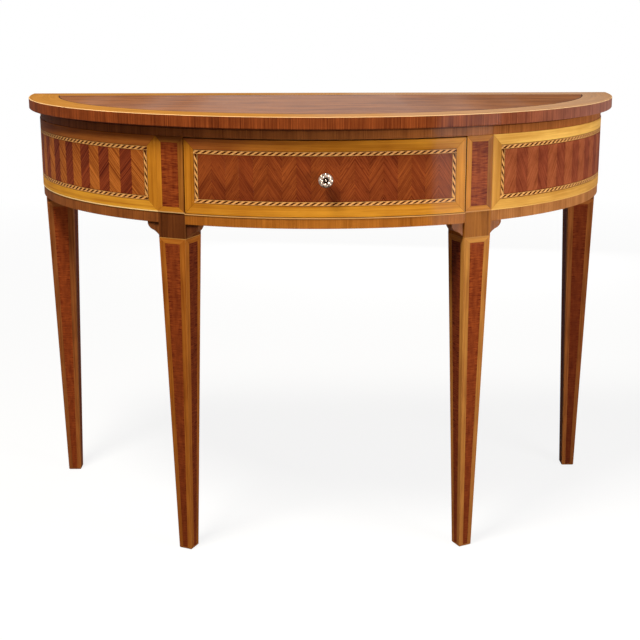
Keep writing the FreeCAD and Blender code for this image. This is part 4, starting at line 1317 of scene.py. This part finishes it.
knob_profile = [(0.0, 0.0, 0.6), (0.0060, 0.0, 0.6), (0.0060, 0.0010, 0.1), (0.0050, 0.0020, 0.5),
                (0.0041, 0.0040, 0.2), (0.0040, 0.0070, 0.1), (0.0050, 0.0092, 0.1), (0.0080, 0.0112, 0.0),
                (0.0108, 0.0124, 0.0), (0.0119, 0.0134, 0.0), (0.0120, 0.0142, 0.0), (0.0114, 0.0150, 0.2),
                (0.0080, 0.0150, 0.9), (0.0052, 0.0150, 0.6), (0.0045, 0.0146, 0.9), (0.0041, 0.0128, 1.0),
                (0.0027, 0.0124, 1.0), (0.0021, 0.0134, 0.6), (0.0020, 0.0150, 0.0), (0.0013, 0.0158, 0.0),
                (0.0, 0.0161, 0.0)]
knob_radius = 0.012
knob_place = Vector((0.0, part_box("drawer_knob")[1].y, knob_level))
petal = knob_petal()
petals = copies_on("knob_petal_spots", [(0.0, 0.0, 0.0)] * knob_petals, petal,
                   (0.0, 2 * math.pi / knob_petals, 0.0), nickel)
petals.data.transform(Matrix.Translation(knob_place))
knob_turning = turned("knob_turning", knob_profile, 40, knob_place, (0, -1, 0))
flower = gather("flower_knob", [knob_turning, petals], nickel)
# Painted shade on the knob's lower half, darker downwards, added to the patina of its recesses
for vert, patina_and_lower_shade in zip(flower.data.vertices, flower.data.attributes["patina_and_shade"].data):
    drop = (knob_level - vert.co.z) / knob_radius
    patina_and_lower_shade.value = min(1.0, patina_and_lower_shade.value + 0.6 * max(0.0, drop + 0.15))
settle(flower, "drawer", "nickel", "drawer_knob", smooth=40)


def fastener_places(node, reach=0.012):
    """Centres of the separate screws of a node at their lowest level, and their length."""
    groups = []
    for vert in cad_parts[node].data.vertices:
        for group in groups:
            if (group[0] - vert.co).xy.length < reach:
                group.append(vert.co)
                break
        else:
            groups.append([vert.co])
    levels = [p.z for group in groups for p in group]
    middles = [[(min(p[axis] for p in group) + max(p[axis] for p in group)) / 2 for axis in (0, 1)]
               for group in groups]
    return [(x, y, min(levels)) for x, y in middles], max(levels) - min(levels)


def slotted_screw(length):
    """Countersunk wood screw with its slotted head down, rings for its thread and a point."""
    core, crest, pitch, first_thread = 0.0015, 0.0020, 0.003, 0.006
    half_slot, slot_depth = 0.0005, 0.0009
    profile = [(0.0040, 0.0, 0.2), (0.0038, 0.0003, 0.0), (crest, 0.0024, 0.3)]
    for k in range(max(2, int((length - 0.008) / pitch))):
        level = first_thread + pitch * k
        if level + pitch / 2 < length - 0.002:
            profile += [(core, level, 0.6), (crest, level + 0.0010, 0.1)]
    profile += [(0.0012, length - 0.0012, 0.3), (0.0, length, 0.0)]
    screw = turned("slotted_screw", profile, 10, Vector((0, 0, 0)), (0, 0, 1))
    bm = bmesh.new()
    bm.from_mesh(screw.data)
    for side in (-1, 1):
        cut_across(bm, side * half_slot)
    layer = bm.verts.layers.float["patina_and_shade"]
    slot = [f for f in bm.faces if all(v.co.z < weld_reach for v in f.verts)
            and abs(f.calc_center_median().x) < half_slot * 0.8]
    pushed = bmesh.ops.extrude_face_region(bm, geom=slot)["geom"]
    for vert in (item for item in pushed if isinstance(item, bmesh.types.BMVert)):
        vert.co.z += slot_depth
        vert[layer] = 1.0
    bmesh.ops.delete(bm, geom=slot, context="FACES_ONLY")
    bmesh.ops.recalc_face_normals(bm, faces=bm.faces)
    bm.to_mesh(screw.data)
    bm.free()
    return screw


for node, body in (("top_screws", "table"), ("drawer_bottom_screws", "drawer")):
    places, length = fastener_places(node)
    shape = slotted_screw(length)
    settle(copies_on(node + "_slotted", places, shape, (0.0, 0.0, 0.9), steel), body, "steel", node)
    bpy.data.objects.remove(shape)
for helper in (petal, face_guide, top_guide):
    bpy.data.objects.remove(helper)

# Finishes of the nodes that stay as they are
plain_finishes = (
    (pine_x, "top_core upper_front_rail lower_front_rail drawer_stops top_glue_blocks drawer_front"),
    (pine_y, "left_apron_core right_apron_core left_drawer_runner right_drawer_runner left_drawer_kicker "
             "right_drawer_kicker left_drawer_guide right_drawer_guide"),
    (oak_x, "drawer_back drawer_bottom"), (oak_y, "left_drawer_side right_drawer_side"),
    (line_wood, "top_line"), (top_field_wood, "top_field"), (stained_back, "back_rail"),
    (steel, "drawer_knob_screw"))
for material, nodes in plain_finishes:
    for node in nodes.split():
        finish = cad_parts[node].data.materials
        finish.clear()
        finish.append(material)


# Floor, light and camera


def make_floor(size=40.0):
    """Wide pale floor that is white to the eye and keeps the table's soft shadow."""
    lighting, shown = (0.17, 0.12, 0.075, 1.0), (0.88, 0.88, 0.87, 1.0)
    shadow_reach, clear_reach, shadow_glow = 0.9, 4.0, 0.86
    material, tree, shader = new_material("pale_floor")
    seen = tree.seen()
    tree.set(shader.inputs["Roughness"], 0.9)
    tree.set(shader.inputs["Base Color"], tree.mix(seen, lighting, shown))
    distance = tree.put("ShaderNodeVectorMath", {0: tree.object_place()}, "Value", operation="LENGTH")
    glow = seen * tree.spread(distance, shadow_reach, clear_reach, shadow_glow, 1.0)
    surface = tree.put("ShaderNodeMixShader", {0: glow, 1: Wire(tree, shader.outputs[0]),
                                               2: tree.put("ShaderNodeEmission")})
    tree.set(tree.own.nodes["Material Output"].inputs["Surface"], surface)
    corners = [(x, y, 0) for x, y in rectangle(-size, size, -size, size)]
    floor = mesh_object("studio_floor", corners, [(0, 1, 2, 3)])
    floor.data.materials.append(material)


def make_world():
    """Even pale surroundings, white where the eye or a reflection meets them."""
    lighting, shown, fill_strength = (1.0, 0.74, 0.50, 1.0), (1.0, 1.0, 1.0, 1.0), 0.09
    world = bpy.data.worlds.new("studio_surroundings")
    world.use_nodes = True
    tree = Tree(world.node_tree)
    sky = world.node_tree.nodes["Background"]
    seen = tree.seen()
    tree.set(sky.inputs["Strength"], tree.spread(seen, 0.0, 1.0, fill_strength, 1.0))
    tree.set(sky.inputs["Color"], tree.mix(seen, lighting, shown))
    bpy.context.scene.world = world


def add_lamp(name, place, target, size, power, colour=(1.0, 1.0, 1.0)):
    """Soft rectangular lamp aimed at a point."""
    data = bpy.data.lights.new(name, "AREA")
    data.shape = "RECTANGLE"
    data.size, data.size_y = size
    data.energy = power
    data.color = colour
    lamp = new_object(name, data)
    lamp.location = place
    lamp.rotation_euler = (Vector(target) - Vector(place)).to_track_quat("-Z", "Y").to_euler()


make_floor()
make_world()
add_lamp("ceiling_lamp", (-0.95, -1.2, 3.0), (-0.05, -0.1, 0.6), (0.9, 0.9), 126.0, (1.0, 0.97, 0.90))
add_lamp("window_lamp", (1.32, -1.02, 0.5), (0.3, -0.05, 0.62), (0.7, 0.5), 19.0, (0.96, 0.97, 1.0))
add_lamp("front_fill_lamp", (0.6, -3.3, 0.9), (0.0, 0.0, 0.5), (2.2, 1.8), 2.0)
add_lamp("rear_lamp", (0.4, 2.6, 0.45), (0.0, 0.2, 0.45), (1.6, 0.5), 18.0)

# Camera of the photograph, its focal length in pixels of a picture 640 wide
picture_width = 640.0
focal_pixels = 1220.8
camera_data = bpy.data.cameras.new("photo_camera")
camera_data.sensor_width = 36.0
camera_data.lens = camera_data.sensor_width * focal_pixels / picture_width
camera_data.shift_x = -0.017
camera_data.shift_y = -0.055
camera = new_object("photo_camera", camera_data)
camera.location = (-0.035, -2.202, 0.9636)
camera.rotation_euler = (math.radians(90 - 13.212), math.radians(0.04), math.radians(-1.272))
bpy.context.scene.camera = camera
bpy.context.scene.view_settings.view_transform = "Standard"
